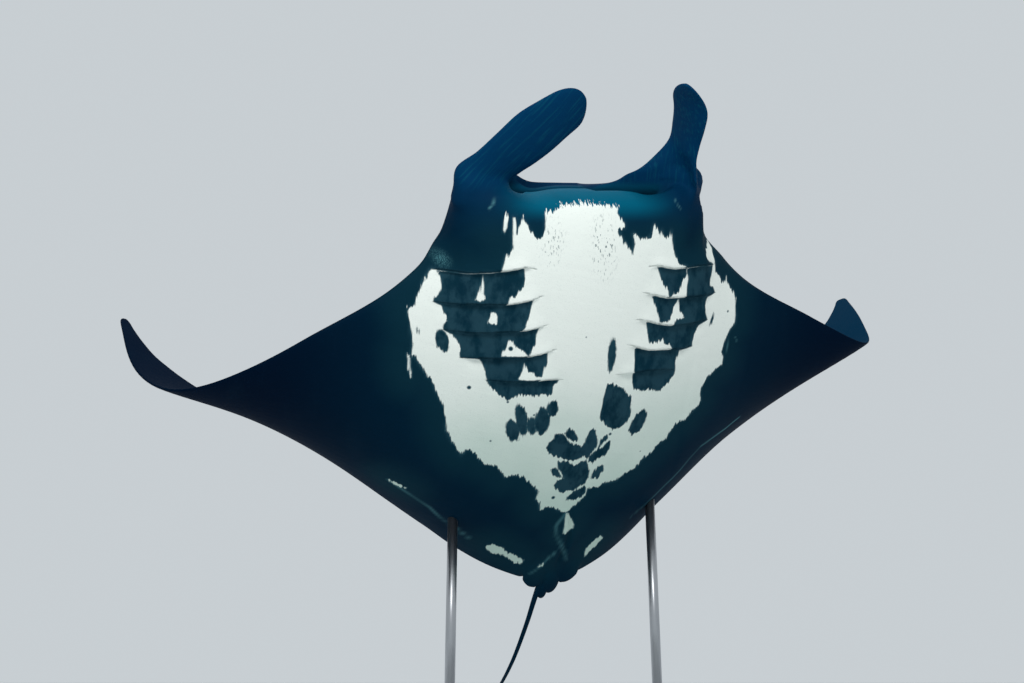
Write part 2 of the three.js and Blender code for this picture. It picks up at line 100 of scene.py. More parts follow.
def swell(chord, rise, fall):
    """0 at both ends of a chord and 1 at its thickest place."""
    peak = rise / (rise + fall)
    return chord ** rise * (1 - chord) ** fall / (peak ** rise * (1 - peak) ** fall)


def chord_at(out, y):
    """How far a place lies from the front edge, 0, to the rear edge, 1."""
    front = front_edge(out)
    return np.clip((y - front) / (rear_edge(out) - front), 0, 1)


def back_height(out, chord):
    body = BACK_HEIGHT * np.exp(-((out / 0.8) ** 2.1)) * swell(chord, 0.55, 1.05)
    wing = WING * (1 - out / 2.5) * swell(chord, 0.5, 1)
    return body + wing + EDGE + LIP_HEIGHT * (1 - ramp((out - 0.48) / 0.2)) * (1 - chord) ** 3


def belly_depth(out, chord):
    body = BELLY_DEPTH * np.exp(-((out / 0.8) ** 2.6)) * swell(chord, 0.45, 0.95)
    wing = WING * (1 - out / 2.5) * swell(chord, 0.5, 1)
    return body + wing + EDGE + CHIN_DEPTH * (1 - ramp((out - 0.46) / 0.22)) * (1 - chord) ** 8


def spread(length, spacing):
    """Places from 0 to length whose steps follow the spacing wanted at each place."""
    fine = np.linspace(0, length, 6001)
    count = np.concatenate([[0], np.cumsum(np.diff(fine) / spacing((fine[1:] + fine[:-1]) / 2))])
    return np.interp(np.linspace(0, count[-1], int(round(count[-1])) + 1), count, fine)


def centimetres(outline):
    """Places on the flat hide, drawn in centimetres."""
    return [(x / 100, y / 100) for x, y in outline]


# Gill slits, five on each side, each as its inner end, its run and its outer end, in centimetres.
GILL_SLITS = {side: [centimetres(slit) for slit in slits] for side, slits in {
    -1: [
        [(-29, -69), (-34, -69.5), (-38.5, -68.5), (-44.5, -67.5), (-58, -66), (-73, -65.5)],
        [(-25, -57), (-29.5, -55), (-35, -53.5), (-41, -52.5), (-53, -52), (-67, -51.5), (-72.5, -52)],
        [(-21.5, -43.5), (-25.5, -42), (-34.5, -40), (-42, -39.5), (-55, -38.5), (-68, -39.5)],
        [(-16.5, -31.5), (-20.5, -30), (-25.5, -28.5), (-31, -27.5), (-41, -26.5), (-60, -26.5)],
        [(-12, -16), (-19, -16), (-27.5, -15), (-34.5, -15), (-48, -16)],
    ],
    1: [
        [(25.5, -69), (30, -69), (34.5, -68), (40.5, -67), (53.5, -67), (66, -65.5)],
        [(23.5, -57), (28.5, -55.5), (39, -53), (48, -52.5), (64, -51.5), (68.5, -52)],
        [(21.5, -44), (28, -42.5), (34.5, -40.5), (42.5, -39), (52, -38.5), (65, -39)],
        [(18.5, -32), (23.5, -30), (32.5, -27.5), (40.5, -27), (50, -26), (57, -26.5)],
        [(14.5, -17), (19.5, -16.5), (29.5, -17), (39, -16.5), (48.5, -15)],
    ],
}.items()}
FLAP = {"lift": 0.010, "drop": 0.011, "reach": 0.045, "turn": 0.012, "taper": 0.07}
NEAR_A_SLIT = 0.2


def gill_relief(x, y):
    """How far the gill flaps lift the belly: up to the free edge of each, then a step down."""
    total = np.zeros_like(x)
    for slits in GILL_SLITS.values():
        for slit in slits:
            run = np.array(sorted(slit))
            behind = y - curve_through(run)(np.clip(x, run[0, 0], run[-1, 0]))
            share = ramp((x - run[0, 0]) / FLAP["taper"]) * ramp((run[-1, 0] - x) / FLAP["taper"])
            free = FLAP["lift"] * np.exp(-((np.minimum(behind, 0) / FLAP["reach"]) ** 2))
            under = -FLAP["drop"] * np.exp(-((np.maximum(behind, 0) / FLAP["reach"]) ** 2))
            step = ramp(behind / FLAP["turn"] + 0.5)
            near = np.abs(behind) < NEAR_A_SLIT
            total += np.where(near, share * (free * (1 - step) + under * step), 0)
    return total


def vent_relief(x, y):
    """The vent is a short groove with a soft rim, and a fold runs on from it to the tail."""
    middle = 0.02 + 0.03 * np.sin((y - 0.6) * 9)
    along = ramp((y - 0.58) / 0.06) * (1 - ramp((y - 0.92) / 0.1))
    groove = np.exp(-(((x - middle) / 0.014) ** 2)) - 0.55 * np.exp(-(((x - middle) / 0.05) ** 2))
    return -0.016 * groove * along


MOUTH = {"half": 0.43, "fade": 0.07, "depth": 0.17, "lip": 0.046, "lip_round": 0.055}
BROW_BULGE = {"size": 0.045, "at": -0.37, "width": 0.07}
# The mouth's fold from the lower lip's tip round to the upper lip's, as depth shares and heights.
MOUTH_FOLD = [
    (0.0, -0.040), (0.05, -0.034), (0.16, -0.034), (0.4, -0.044), (0.7, -0.052), (0.93, -0.047),
    (1.0, -0.028), (0.93, -0.008), (0.7, -0.001), (0.4, -0.003), (0.16, -0.011), (0.06, -0.017),
    (0.015, -0.015), (-0.01, -0.006), (-0.018, 0.006), (-0.010, 0.020),
]


def mouth_share(out):
    return ramp((MOUTH["half"] - out) / MOUTH["fade"])


def lip_setback(out):
    """How far the lower lip stops short of the upper one: more beside the mouth's corners."""
    return (0.010 + 0.020 * math.exp(-(((out - 0.29) / 0.09) ** 2))) * mouth_share(out)


def rows_at(out, front, rear, rows):
    """Rows run straight across the body, as the gill slits do, and fan out over the wings."""
    first, last = front_edge(0) + lip_setback(0), rear_edge(0)
    level = first + rows * (last - first)
    crowd = 0.12
    straight = np.where(level < front + crowd,
                        front + crowd * (level - first) / (front + crowd - first), level)
    straight = np.where(level > rear - crowd,
                        rear - crowd * (last - level) / (last - rear + crowd), straight)
    fanned = front + rows * (rear - front)
    return straight + (fanned - straight) * ramp((out - 0.75) / 0.5)


def ring_at(x, rows_belly, rows_back):
    """One closed section of the flat disc, fore and aft, at a distance x from the midline."""
    out = abs(x)
    front, rear = front_edge(out), rear_edge(out)
    lip = front + lip_setback(out)
    share = mouth_share(out)
    bulge = math.exp(-(((x - BROW_BULGE["at"]) / BROW_BULGE["width"]) ** 2))
    brow = front - BROW_BULGE["size"] * bulge
    y = rows_at(out, lip, rear, rows_belly)
    depth = belly_depth(out, chord_at(out, y))
    rounding = np.sqrt(1 - (1 - np.clip((y - lip) / MOUTH["lip_round"], 0, 1)) ** 2)
    blunt = 0.5 * (depth[0] + MOUTH["lip"]) * (1 - share) + MOUTH["lip"] * share
    tapered = blunt + (depth - blunt) * rounding
    head = 1 - ramp((out - 0.5) / 0.12)
    depth = depth + (tapered - depth) * head
    depth = depth + gill_relief(np.full_like(y, x), y) + vent_relief(np.full_like(y, x), y)
    belly = np.stack([np.full_like(y, x), y, -depth], 1)
    y_back = brow + rows_back * (rear - brow)
    height = back_height(out, rows_back)
    back = np.stack([np.full_like(y_back, x), y_back, height], 1)
    fold = np.array(MOUTH_FOLD)
    inside = np.stack([lip + fold[:, 0] * MOUTH["depth"], fold[:, 1]], 1)
    inside[-4:, 0] += (brow - front) * np.array([0.3, 0.6, 0.9, 1])
    turn = np.linspace(0, math.pi, len(fold) + 2)[1:-1]
    middle, half = (height[0] - depth[0]) / 2, (height[0] + depth[0]) / 2
    plain = np.stack([front - min(half, 0.02) * np.sin(turn), middle - half * np.cos(turn)], 1)
    edge = plain + (inside - plain) * share
    rim = np.concatenate([np.full((len(edge), 1), x), edge], 1)
    return np.concatenate([belly[::-1], rim, back])


def skin_over(rings):
    """Vertices and faces of a closed skin over rings of equal count, fanned shut at both ends."""
    rows, count = rings.shape[:2]
    points = rings.reshape(-1, 3)
    i, j = np.meshgrid(np.arange(rows - 1), np.arange(count), indexing="ij")
    near, far = i * count, (i + 1) * count
    after = (j + 1) % count
    quads = np.stack([near + j, near + after, far + after, far + j], 2).reshape(-1, 4).tolist()
    last = (rows - 1) * count
    points = np.concatenate([points, [rings[0].mean(0)], [rings[-1].mean(0)]])
    first_cap = [(k, rows * count, (k + 1) % count) for k in range(count)]
    last_cap = [(last + k, last + (k + 1) % count, rows * count + 1) for k in range(count)]
    return points, quads + first_cap + last_cap


def solid_object(name, points, faces):
    """A mesh object with its faces turned outwards."""
    mesh = bpy.data.meshes.new(name)
    mesh.from_pydata(points.tolist() if hasattr(points, "tolist") else points, [], faces)
    piece = bpy.data.objects.new(name, mesh)
    bpy.context.scene.collection.objects.link(piece)
    work = bmesh.new()
    work.from_mesh(mesh)
    bmesh.ops.remove_doubles(work, verts=work.verts, dist=1e-6)
    bmesh.ops.recalc_face_normals(work, faces=work.faces)
    if work.calc_volume(signed=True) < 0:
        bmesh.ops.reverse_faces(work, faces=work.faces)
    work.to_mesh(mesh)
    work.free()
    return piece


# The mesh is fine over the gills, coarser along the wings and fine again at their edges and tips.
across = spread(SPAN - EDGE, lambda s: (
    0.0091 + 0.0018 * ramp((s - 0.36) / 0.1) + 0.024 * ramp((s - 0.8) / 0.55)
    - 0.0255 * ramp((s - 2.15) / 0.3)
))
across = np.concatenate([-across[:0:-1], across])
along_belly = spread(1, lambda c: (
    0.0014 + 0.0033 * ramp(c / 0.05) + 0.0085 * ramp((c - 0.78) / 0.06)
    - 0.0105 * ramp((c - 0.95) / 0.05)
))
along_back = spread(1, lambda c: 0.0016 + 0.0265 * ramp(c / 0.1) - 0.025 * ramp((c - 0.9) / 0.1))
hide = solid_object("hide", *skin_over(np.array([
    ring_at(x, along_belly, along_back) for x in across
])))

# ---------------------------------------------------------------- the hide: head fins, eye mounds
# Two fleshy paddles grow from the sides of the head and steer water to the mouth. The right one
# is spread across it, the left one stands on edge with a web to the upper jaw. Behind each sits
# the mound that carries the eye.

# Each fin by its inner edge, its middle and its outer edge, from the root out, then how thick the
# root is and what share of that its inner edge keeps.
HEAD_FINS = {
    "right": dict(
        inner=[(-0.37, -0.96, -0.03), (-0.38, -1.0, -0.02), (-0.375, -1.035, -0.02), (-0.34, -1.08, -0.035),
               (-0.28, -1.13, -0.06), (-0.21, -1.19, -0.075), (-0.145, -1.255, -0.085),
               (-0.08, -1.31, -0.08), (-0.035, -1.35, -0.07)],
        middle=[(-0.49, -0.92, -0.07), (-0.505, -1.0, -0.06), (-0.5, -1.07, -0.055), (-0.45, -1.135, -0.07),
                (-0.38, -1.205, -0.09), (-0.3, -1.28, -0.11), (-0.225, -1.335, -0.12),
                (-0.15, -1.39, -0.12), (-0.085, -1.425, -0.11)],
        outer=[(-0.605, -0.88, -0.03), (-0.63, -1.005, -0.025), (-0.63, -1.105, -0.035),
               (-0.55, -1.185, -0.08), (-0.47, -1.27, -0.1), (-0.39, -1.355, -0.12),
               (-0.305, -1.415, -0.14), (-0.215, -1.465, -0.14), (-0.125, -1.51, -0.13)],
        root=0.07, thin_inside=0.5),
    "left": dict(
        inner=[(-0.045, -1.0, 0.015), (0.075, -1.03, 0.01), (0.155, -1.06, 0.005), (0.25, -1.095, 0.0),
               (0.335, -1.16, 0.01), (0.39, -1.24, -0.005), (0.375, -1.33, -0.05), (0.34, -1.41, -0.11),
               (0.3, -1.47, -0.155), (0.26, -1.52, -0.19)],
        middle=[(0.42, -0.97, 0.0), (0.43, -1.01, -0.01), (0.44, -1.05, -0.015), (0.45, -1.1, -0.035),
                (0.445, -1.16, -0.065), (0.43, -1.215, -0.1), (0.415, -1.29, -0.14), (0.39, -1.37, -0.19),
                (0.355, -1.445, -0.235), (0.3, -1.515, -0.28)],
        outer=[(0.525, -0.87, -0.12), (0.52, -0.92, -0.135), (0.505, -0.975, -0.15), (0.48, -1.035, -0.165),
               (0.46, -1.1, -0.17), (0.445, -1.165, -0.185), (0.44, -1.24, -0.21), (0.425, -1.325, -0.265),
               (0.405, -1.41, -0.31), (0.335, -1.495, -0.365)],
        root=0.05, thin_inside=0.0),
}
EYE_MOUNDS = {"right": (-0.525, -0.935, 0.0), "left": (0.525, -0.925, 0.0)}
MOUND_RADII = (0.094, 0.19, 0.078)


def unit(vectors):
    return vectors / np.linalg.norm(vectors, axis=-1, keepdims=True)


def path_through(points, u):
    """Places and directions on the smooth path through points, its steps shared out evenly."""
    p = np.array(points, float)
    p = np.concatenate([[2 * p[0] - p[1]], p, [2 * p[-1] - p[-2]]])
    spot = u * (len(points) - 1)
    i = np.minimum(spot.astype(int), len(points) - 2)
    w = (spot - i)[:, None]
    a, b, c, d = (p[i + k] for k in range(4))
    gaps = [np.sqrt(np.linalg.norm(q - r, axis=1))[:, None] for q, r in ((b, a), (c, b), (d, c))]
    near = ((b - a) / gaps[0] - (c - a) / (gaps[0] + gaps[1]) + (c - b) / gaps[1]) * gaps[1]
    far = ((c - b) / gaps[1] - (d - b) / (gaps[1] + gaps[2]) + (d - c) / gaps[2]) * gaps[1]
    place = ((2 * w ** 3 - 3 * w ** 2 + 1) * b + (w ** 3 - 2 * w ** 2 + w) * near
             + (3 * w ** 2 - 2 * w ** 3) * c + (w ** 3 - w ** 2) * far)
    slope = ((6 * w ** 2 - 6 * w) * b + (3 * w ** 2 - 4 * w + 1) * near
             + (6 * w - 6 * w ** 2) * c + (3 * w ** 2 - 2 * w) * far)
    return place, unit(slope)


def head_fin(inner, middle, outer, root, thin_inside):
    """A cambered paddle between its two edges, thick at its root and round at its tip."""
    u = np.concatenate([np.linspace(0, 0.8, 48)[:-1], 1 - 0.2 * np.linspace(1, 0, 22) ** 1.6])
    edges = [path_through(line, u)[0] for line in (inner, middle, outer)]
    along = path_through(middle, u)[1]
    turn = np.linspace(0, 2 * math.pi, 40, endpoint=False)
    tip = np.sqrt(np.maximum(1 - (np.maximum(u - 0.82, 0) / 0.1805) ** 2, 0))
    s = np.cos(turn)[None] * tip[:, None]
    shares = s * (s - 1) / 2, 1 - s * s, s * (s + 1) / 2
    slopes = s - 0.5, -2 * s, s + 0.5
    surface = sum(k[..., None] * edge[:, None] for k, edge in zip(shares, edges))
    across_fin = sum(k[..., None] * edge[:, None] for k, edge in zip(slopes, edges))
    normal = unit(np.cross(unit(across_fin), along[:, None]))
    half = (0.012 + 0.016 * (1 - u)) * (0.4 + 0.6 * tip)
    rooted = root * (1 - ramp(u / 0.42))[:, None] * (
        thin_inside + (1 - thin_inside) * ramp((s + 0.2) / 0.9))
    half = np.minimum(half[:, None], 0.012 + 0.05 * (1 + s)) + rooted
    return skin_over(surface + normal * (half * np.sin(turn))[..., None])


def blade(middles, tangents, width, thickness, sides):
    """Rings of an ellipse along a path, as wide and thick as told."""
    wide = unit(np.cross(tangents, (0, 0, 1)))
    up = np.cross(wide, tangents)
    turn = np.linspace(0, 2 * math.pi, sides, endpoint=False)
    return (middles[:, None]
            + wide[:, None] * (width / 2)[:, None, None] * np.cos(turn)[None, :, None]
            + up[:, None] * (thickness / 2)[:, None, None] * np.sin(turn)[None, :, None])


def ball(place, radii, sides=36, rows=20):
    """A ball or egg round a place, with its poles on a line along Z."""
    turn = np.linspace(0, 2 * math.pi, sides, endpoint=False)
    fall = np.linspace(0, math.pi, rows + 1)[1:-1]
    rings = np.stack([
        np.sin(fall)[:, None] * np.cos(turn), np.sin(fall)[:, None] * np.sin(turn),
        np.repeat(np.cos(fall)[:, None], sides, 1),
    ], 2)
    points, faces = skin_over(rings)
    points[-2:] = ((0, 0, 1), (0, 0, -1))
    return points * np.array(radii) + np.array(place), faces


additions = [solid_object("fin", *head_fin(**fin)) for fin in HEAD_FINS.values()]
additions += [solid_object("mound", *ball(place, MOUND_RADII)) for place in EYE_MOUNDS.values()]

# ---------------------------------------------------------------- the hide: pelvic fins, tail
# Short pelvic flaps lie beside the tail's root. The tail is a thin whip with no sting in use,
# behind a small fin on the back and the hard knob that the species carries.

TAIL = [
    (-0.02, 0.93, 0.01), (-0.055, 1.09, 0.0), (-0.078, 1.19, 0), (-0.108, 1.33, 0),
    (-0.165, 1.6, 0.03), (-0.212, 1.85, 0.12), (-0.255, 2.07, 0.27),
]
TAIL_LUMPS = [((0.0, 1.05, 0.0), (0.055, 0.105, 0.032)), ((-0.04, 1.13, 0.004), (0.03, 0.055, 0.024))]
PELVIC_CORNERS = {-1: (-0.09, 1.1, -0.012), 1: (0.055, 1.09, -0.012)}
PELVIC_WIDTH = 0.15


def tail():
    """A whip, stout where it leaves the body and drawn out to a point."""
    u = np.linspace(0, 1, 120)
    places, directions = path_through(TAIL, u)
    thick = 0.01 + 0.024 * (1 - u) ** 0.8 + 0.022 * (1 - ramp((u - 0.1) / 0.06))
    thick[-3:] *= (0.8, 0.5, 0.2)
    return skin_over(blade(places, directions, thick, thick, 14))


def pelvic_fin(side):
    """A short flap, cut slantwise so that its inner corner reaches furthest back."""
    u = np.linspace(0, 1, 34)
    run = [(side * 0.1, 0.84, -0.03), (side * 0.1, 0.97, -0.022), PELVIC_CORNERS[side]]
    places, directions = path_through(run, u)
    end = np.sqrt(np.maximum(1 - (np.maximum(u - 0.45, 0) / 0.551) ** 2.2, 0))
    thickness = (0.016 + 0.02 * (1 - u)) * (0.3 + 0.7 * end)
    return skin_over(blade(places, directions, PELVIC_WIDTH * end + 1e-4, thickness, 28))


def back_fin():
    """A swept triangle, thickest at its root, that leans on the tail's root."""
    rings = []
    for up in np.linspace(0, 1, 22):
        round_off = math.sqrt(max(1 - max(up - 0.8, 0) ** 2 / 0.0405, 0))
        front, rear = 0.905 + 0.165 * up ** 0.8, 1.075 + 0.028 * math.sin(up * 2.6)
        middle, half = (front + rear) / 2, (rear - front) / 2 * (0.25 + 0.75 * round_off)
        turn = np.linspace(0, 2 * math.pi, 28, endpoint=False)
        rings.append(np.stack([
            -0.016 + (0.010 - 0.005 * up) * round_off * np.sin(turn), middle + half * np.cos(turn),
            np.full_like(turn, 0.015 + 0.096 * up),
        ], 1))
    return skin_over(np.array(rings))


additions.append(solid_object("tail", *tail()))
additions.append(solid_object("back_fin", *back_fin()))
additions += [solid_object("lump", *ball(*lump)) for lump in TAIL_LUMPS]
additions += [solid_object("pelvic", *pelvic_fin(side)) for side in (-1, 1)]

# ---------------------------------------------------------------- the hide: joined and cut
# The pieces are one flesh, so they are joined and their roots filled in. Then the gill slits and
# the eye sockets are cut.

ROOT_REACH = 0.07
TAIL_REGION, TAIL_REACH = 0.5, 0.35   # behind this place the roots are filled less far
EYES = {"right": (-0.572, -0.985, 0.058), "left": (0.572, -1.01, 0.055)}
EYE_RADIUS = 0.025
SOCKET_ROOM = 1.02                    # the socket's radius for each eye's radius
SPIRACLE_OUT, SPIRACLE_BACK = 0.475, -0.83
SPIRACLE_RADII = (0.010, 0.026, 0.03)
SLOT = {"proud": 0.012, "deep": 0.05, "mouth": 0.0045, "floor": 0.0015, "taper": 0.09}
FLAP_OVERHANG = 0.007


def cut_or_join(piece, others, operation):
    """Works each of the others into the piece in turn, and uses it up."""
    for other in others:
        step = piece.modifiers.new("step", "BOOLEAN")
        step.object = other
        step.operation = operation
        step.solver = "MANIFOLD"
        bpy.context.view_layer.update()
        result = bpy.data.meshes.new_from_object(
            piece.evaluated_get(bpy.context.evaluated_depsgraph_get()))
        piece.modifiers.remove(step)
        piece.data = result
        bpy.data.objects.remove(other)


def read_points(mesh):
    flat = np.empty(len(mesh.vertices) * 3, np.float32)
    mesh.vertices.foreach_get("co", flat)
    return flat.reshape(-1, 3).astype(float)


def write_points(mesh, points):
    mesh.vertices.foreach_set("co", points.astype(np.float32).ravel())
    mesh.update()


def tree_of(points):
    tree = KDTree(len(points))
    for i, point in enumerate(points):
        tree.insert(point, i)
    tree.balance()
    return tree


def distances(points, targets):
    tree = tree_of(targets)
    return np.array([tree.find(point)[2] for point in points])


def fill_roots(piece, own_points, reach, passes):
    """Softens the creases where the joined pieces meet the disc."""
    points = read_points(piece.data)
    from_disc = distances(points, own_points) < 2e-5
    ends = np.array([edge.vertices[:] for edge in piece.data.edges])
    mixed = ends[from_disc[ends[:, 0]] != from_disc[ends[:, 1]]].ravel()
    seam_distance = distances(points, points[np.unique(mixed)])
    reach = np.where(points[:, 1] > TAIL_REGION, reach * TAIL_REACH, reach)
    near = ramp(1.3 * (1 - seam_distance / reach))
    degree = np.bincount(ends.ravel(), minlength=len(points))[:, None]
    for _ in range(passes):
        total = np.zeros_like(points)
        for axis in range(3):
            total[:, axis] = (
                np.bincount(ends[:, 0], points[ends[:, 1], axis], len(points))
                + np.bincount(ends[:, 1], points[ends[:, 0], axis], len(points)))
        points += 0.6 * near[:, None] * (total / degree - points)
    write_points(piece.data, points)


disc_points = read_points(hide.data)
cut_or_join(hide, additions, "UNION")
fill_roots(hide, disc_points, ROOT_REACH, 40)


def gill_slot(slit):
    """A thin curved wedge that runs forwards and inwards from the free edge of a gill flap."""
    run = np.array(sorted(slit))
    x = np.linspace(run[0, 0], run[-1, 0], 60)
    smooth = curve_through(run)
    y = smooth(x)
    share = np.sqrt(np.clip(np.minimum(x - x[0], x[-1] - x) / SLOT["taper"], 0.02, 1))
    out = np.abs(x)
    surface = -(belly_depth(out, chord_at(out, y)) + gill_relief(x, y - FLAP_OVERHANG))
    inward = np.array([0, -0.8, 0.6])
    normal = np.array([0, 0.6, 0.8])
    rings = []
    for i in range(len(x)):
        mouth = np.array([x[i], y[i], surface[i]]) - inward * SLOT["proud"]
        deep = mouth + inward * (SLOT["proud"] + SLOT["deep"] * share[i])
        wide, thin = normal * SLOT["mouth"] * share[i], normal * SLOT["floor"] * share[i]
        rings.append([mouth - wide, mouth + wide, (mouth + deep) / 2 + wide, deep + thin, deep - thin,
                      (mouth + deep) / 2 - wide])
    return skin_over(np.array(rings))


spiracle_height = 0.004 + back_height(SPIRACLE_OUT, chord_at(SPIRACLE_OUT, SPIRACLE_BACK))
cut_or_join(hide, [
    solid_object("slot", *gill_slot(slit)) for slits in GILL_SLITS.values() for slit in slits
] + [
    solid_object("socket", *ball(place, [EYE_RADIUS * SOCKET_ROOM] * 3, 36, 22)) for place in EYES.values()
] + [
    solid_object("spiracle", *ball(
        (side * SPIRACLE_OUT, SPIRACLE_BACK, spiracle_height), SPIRACLE_RADII, 28, 18)) for side in (-1, 1)
], "DIFFERENCE")
flat_points = read_points(hide.data)

# ---------------------------------------------------------------- the hide: bent and posed
# The wings are rolled up in the stroke, with the nose of each wing turned down, and the animal
# climbs and banks above its stand.

WINGS = {
    -1: dict(inner=-10.5, outer=6, folds=[(40, 1.275, 0.9, 55), (54, 0.517, 0.787, 44)]),
    1: dict(inner=-7, outer=-12.5, folds=[(19, 1.305, 0.565, 51), (54, 0.517, 0.787, 36)]),
}
FOLD_LINE_BACK = 0.15
TWIST, TWIST_FROM, TWIST_OVER = 15.5, 0.5, 1.3
STIFF_HALF_WIDTH, STIFF_FADE = 0.08, 0.6
ATTITUDE = {"nose_up": 51.9, "bank": 13.2, "heading": 6.2, "origin": (0, -0.04, 1.69)}


def follow(distance, slope_at):
    """Where a surface goes that turns up by the given angles: the way out, up, and its slope."""
    steps = 48
    step = distance / steps
    out, up = np.zeros_like(distance), np.zeros_like(distance)
    for i in range(steps):
        slope = slope_at((i + 0.5) * step)
        out += np.cos(slope) * step
        up += np.sin(slope) * step
    return out, up, slope_at(distance)


def roll_up(x, y, z, axis, start, length, angle):
    """Rolls what lies beyond a slanted line of the wing upwards."""
    c, s = math.cos(math.radians(axis)), math.sin(math.radians(axis))
    beyond = (x - start) * c + (y - FOLD_LINE_BACK) * s
    beside = (y - FOLD_LINE_BACK) * c - (x - start) * s
    out, up, slope = follow(np.maximum(beyond, 0), lambda d: math.radians(angle) * ramp(d / length))
    reach = out - z * np.sin(slope)
    on = beyond > 0
    return (np.where(on, start + reach * c - beside * s, x),
            np.where(on, FOLD_LINE_BACK + reach * s + beside * c, y),
            np.where(on, up + z * np.cos(slope), z))


def head_set(points):
    """The head sits a little to its right on the neck."""
    x, y, z = points.T
    share = ramp((np.abs(x) - 0.38) / 0.15) * ramp((-0.66 - y) / 0.12) * (1 - ramp((-0.95 - y) / 0.1))
    return np.stack([x - np.where(x > 0, 0.032, 0.02) * share, y, z], 1)


def bend(points):
    """Both wings twisted, rolled up and drooped; the tail and what lies by the midline stay."""
    points = head_set(points)
    bent = points.copy()
    for side, wing in WINGS.items():
        on = points[:, 0] * side >= 0 if side > 0 else points[:, 0] < 0
        out, y, z = np.abs(points[on, 0]), points[on, 1], points[on, 2]
        edge = front_edge(np.clip(out, 0.6, SPAN))
        twist = math.radians(TWIST) * ramp((out - TWIST_FROM) / TWIST_OVER)
        a = out
        b = edge + (y - edge) * np.cos(twist) - z * np.sin(twist)
        c = z * np.cos(twist) + (y - edge) * np.sin(twist)
        for fold in wing["folds"]:
            a, b, c = roll_up(a, b, c, *fold)
        reach, up, slope = follow(a, lambda d: (
            math.radians(wing["inner"]) * ramp((d - 0.5) / 0.9)
            + math.radians(wing["outer"]) * ramp(d - 1.2)))
        a, c = reach - c * np.sin(slope), up + c * np.cos(slope)
        behind = y - rear_edge(np.clip(out, 0, SPAN))
        share = ramp((out - STIFF_HALF_WIDTH) / STIFF_FADE) * (1 - ramp((behind - 0.02) / 0.05))
        moved = side * (out + (a - out) * share), y + (b - y) * share, z + (c - z) * share
        bent[on] = np.stack(moved, 1)
    return bent


def turned(axis, angle):
    return np.array(Matrix.Rotation(math.radians(angle), 3, axis))


attitude = turned("Z", ATTITUDE["heading"]) @ turned("X", -ATTITUDE["nose_up"])
attitude = attitude @ turned("Y", -ATTITUDE["bank"])


def posed(points):
    return points @ attitude.T + np.array(ATTITUDE["origin"])


write_points(hide.data, posed(bend(flat_points)))

# ---------------------------------------------------------------- the hide: its markings
# A blue-black animal with a white belly. The black comes down over the chin and fills the gill
# flaps from each slit; dark spots lie on the belly, most of them in a cluster between the pelvic
# region and the last gills. Lengths are on the flat hide, in centimetres.

WHITE_FIELD = centimetres([
    (-73, -66), (-64.5, -65.5), (-58, -66), (-44.5, -67.5), (-43, -72.5), (-42, -75.5), (-40.5, -76),
    (-39.5, -78.5), (-40, -92), (-39, -92), (-38.5, -84.5), (-37.5, -86.5), (-36, -92), (-33, -86.5),
    (-30.5, -83.5), (-27, -83), (-25.5, -86.5), (-25.5, -94), (-21, -94.5), (-19, -96), (-16.5, -97),
    (-4, -97.5), (9, -96), (8.5, -93.5), (10, -91.5), (12, -89), (12, -87.5), (10, -87), (8.5, -86.5),
    (10, -83.5), (12.5, -80), (16.5, -75), (17.5, -80), (17, -83), (16.5, -84.5), (18, -83), (22, -81),
    (26, -83.5), (27, -88.5), (28, -86.5), (30.5, -83.5), (31, -85.5), (32, -83.5), (34.5, -81.5),
    (35.5, -82.5), (36, -85.5), (37, -81.5), (37.5, -77), (39, -73.5), (41.5, -70), (46, -68), (47, -67),
    (53.5, -67), (65.5, -65.5), (66, -66.5), (62.5, -68.5), (61, -70.5), (63, -73.5), (67, -76.5),
    (68, -74), (67, -70), (67, -66.5), (67.5, -62.5), (70.5, -60), (73, -56.5), (73.5, -55), (74.5, -57),
    (75.5, -58.5), (77, -55), (79, -52.5), (81, -51), (83, -47), (84, -39), (84, -34.5), (81.5, -32),
    (79, -27), (77.5, -20), (79.5, -17), (79.5, -13), (77, -12.5), (74, -10), (71.5, -8.5), (69, -5.5),
    (67.5, -2), (69, 5.5), (67, 8), (63.5, 11), (62, 14), (55.5, 15.5), (52, 20), (50.5, 23.5), (45, 26.5),
    (42.5, 30.5), (38, 33.5), (35, 38), (29.5, 40.5), (25, 44), (17.5, 45), (14, 46.5), (9.5, 46.5),
    (9, 50.5), (5.5, 55.5), (0.5, 60.5), (-3.5, 59), (-7, 56), (-10.5, 56), (-13.5, 57), (-14.5, 53.5),
    (-16.5, 50.5), (-16, 46.5), (-18, 43), (-24.5, 37), (-29, 35), (-32, 35), (-33, 36.5), (-36, 33),
    (-38.5, 29.5), (-42, 29), (-46, 27), (-48.5, 23.5), (-51.5, 21), (-54, 21), (-55.5, 23.5),
    (-58.5, 19.5), (-61, 15), (-63.5, 10.5), (-64, 6), (-66, -3), (-69, -9), (-70.5, -13.5),
    (-73.5, -18.5), (-74, -17), (-75.5, -20.5), (-78.5, -25), (-80, -27), (-81, -27), (-80.5, -32),
    (-82, -42.5), (-83, -46), (-83, -48.5), (-82, -49.5), (-80.5, -49), (-80, -50), (-78.5, -55),
    (-75.5, -61.5), (-74, -64),
])
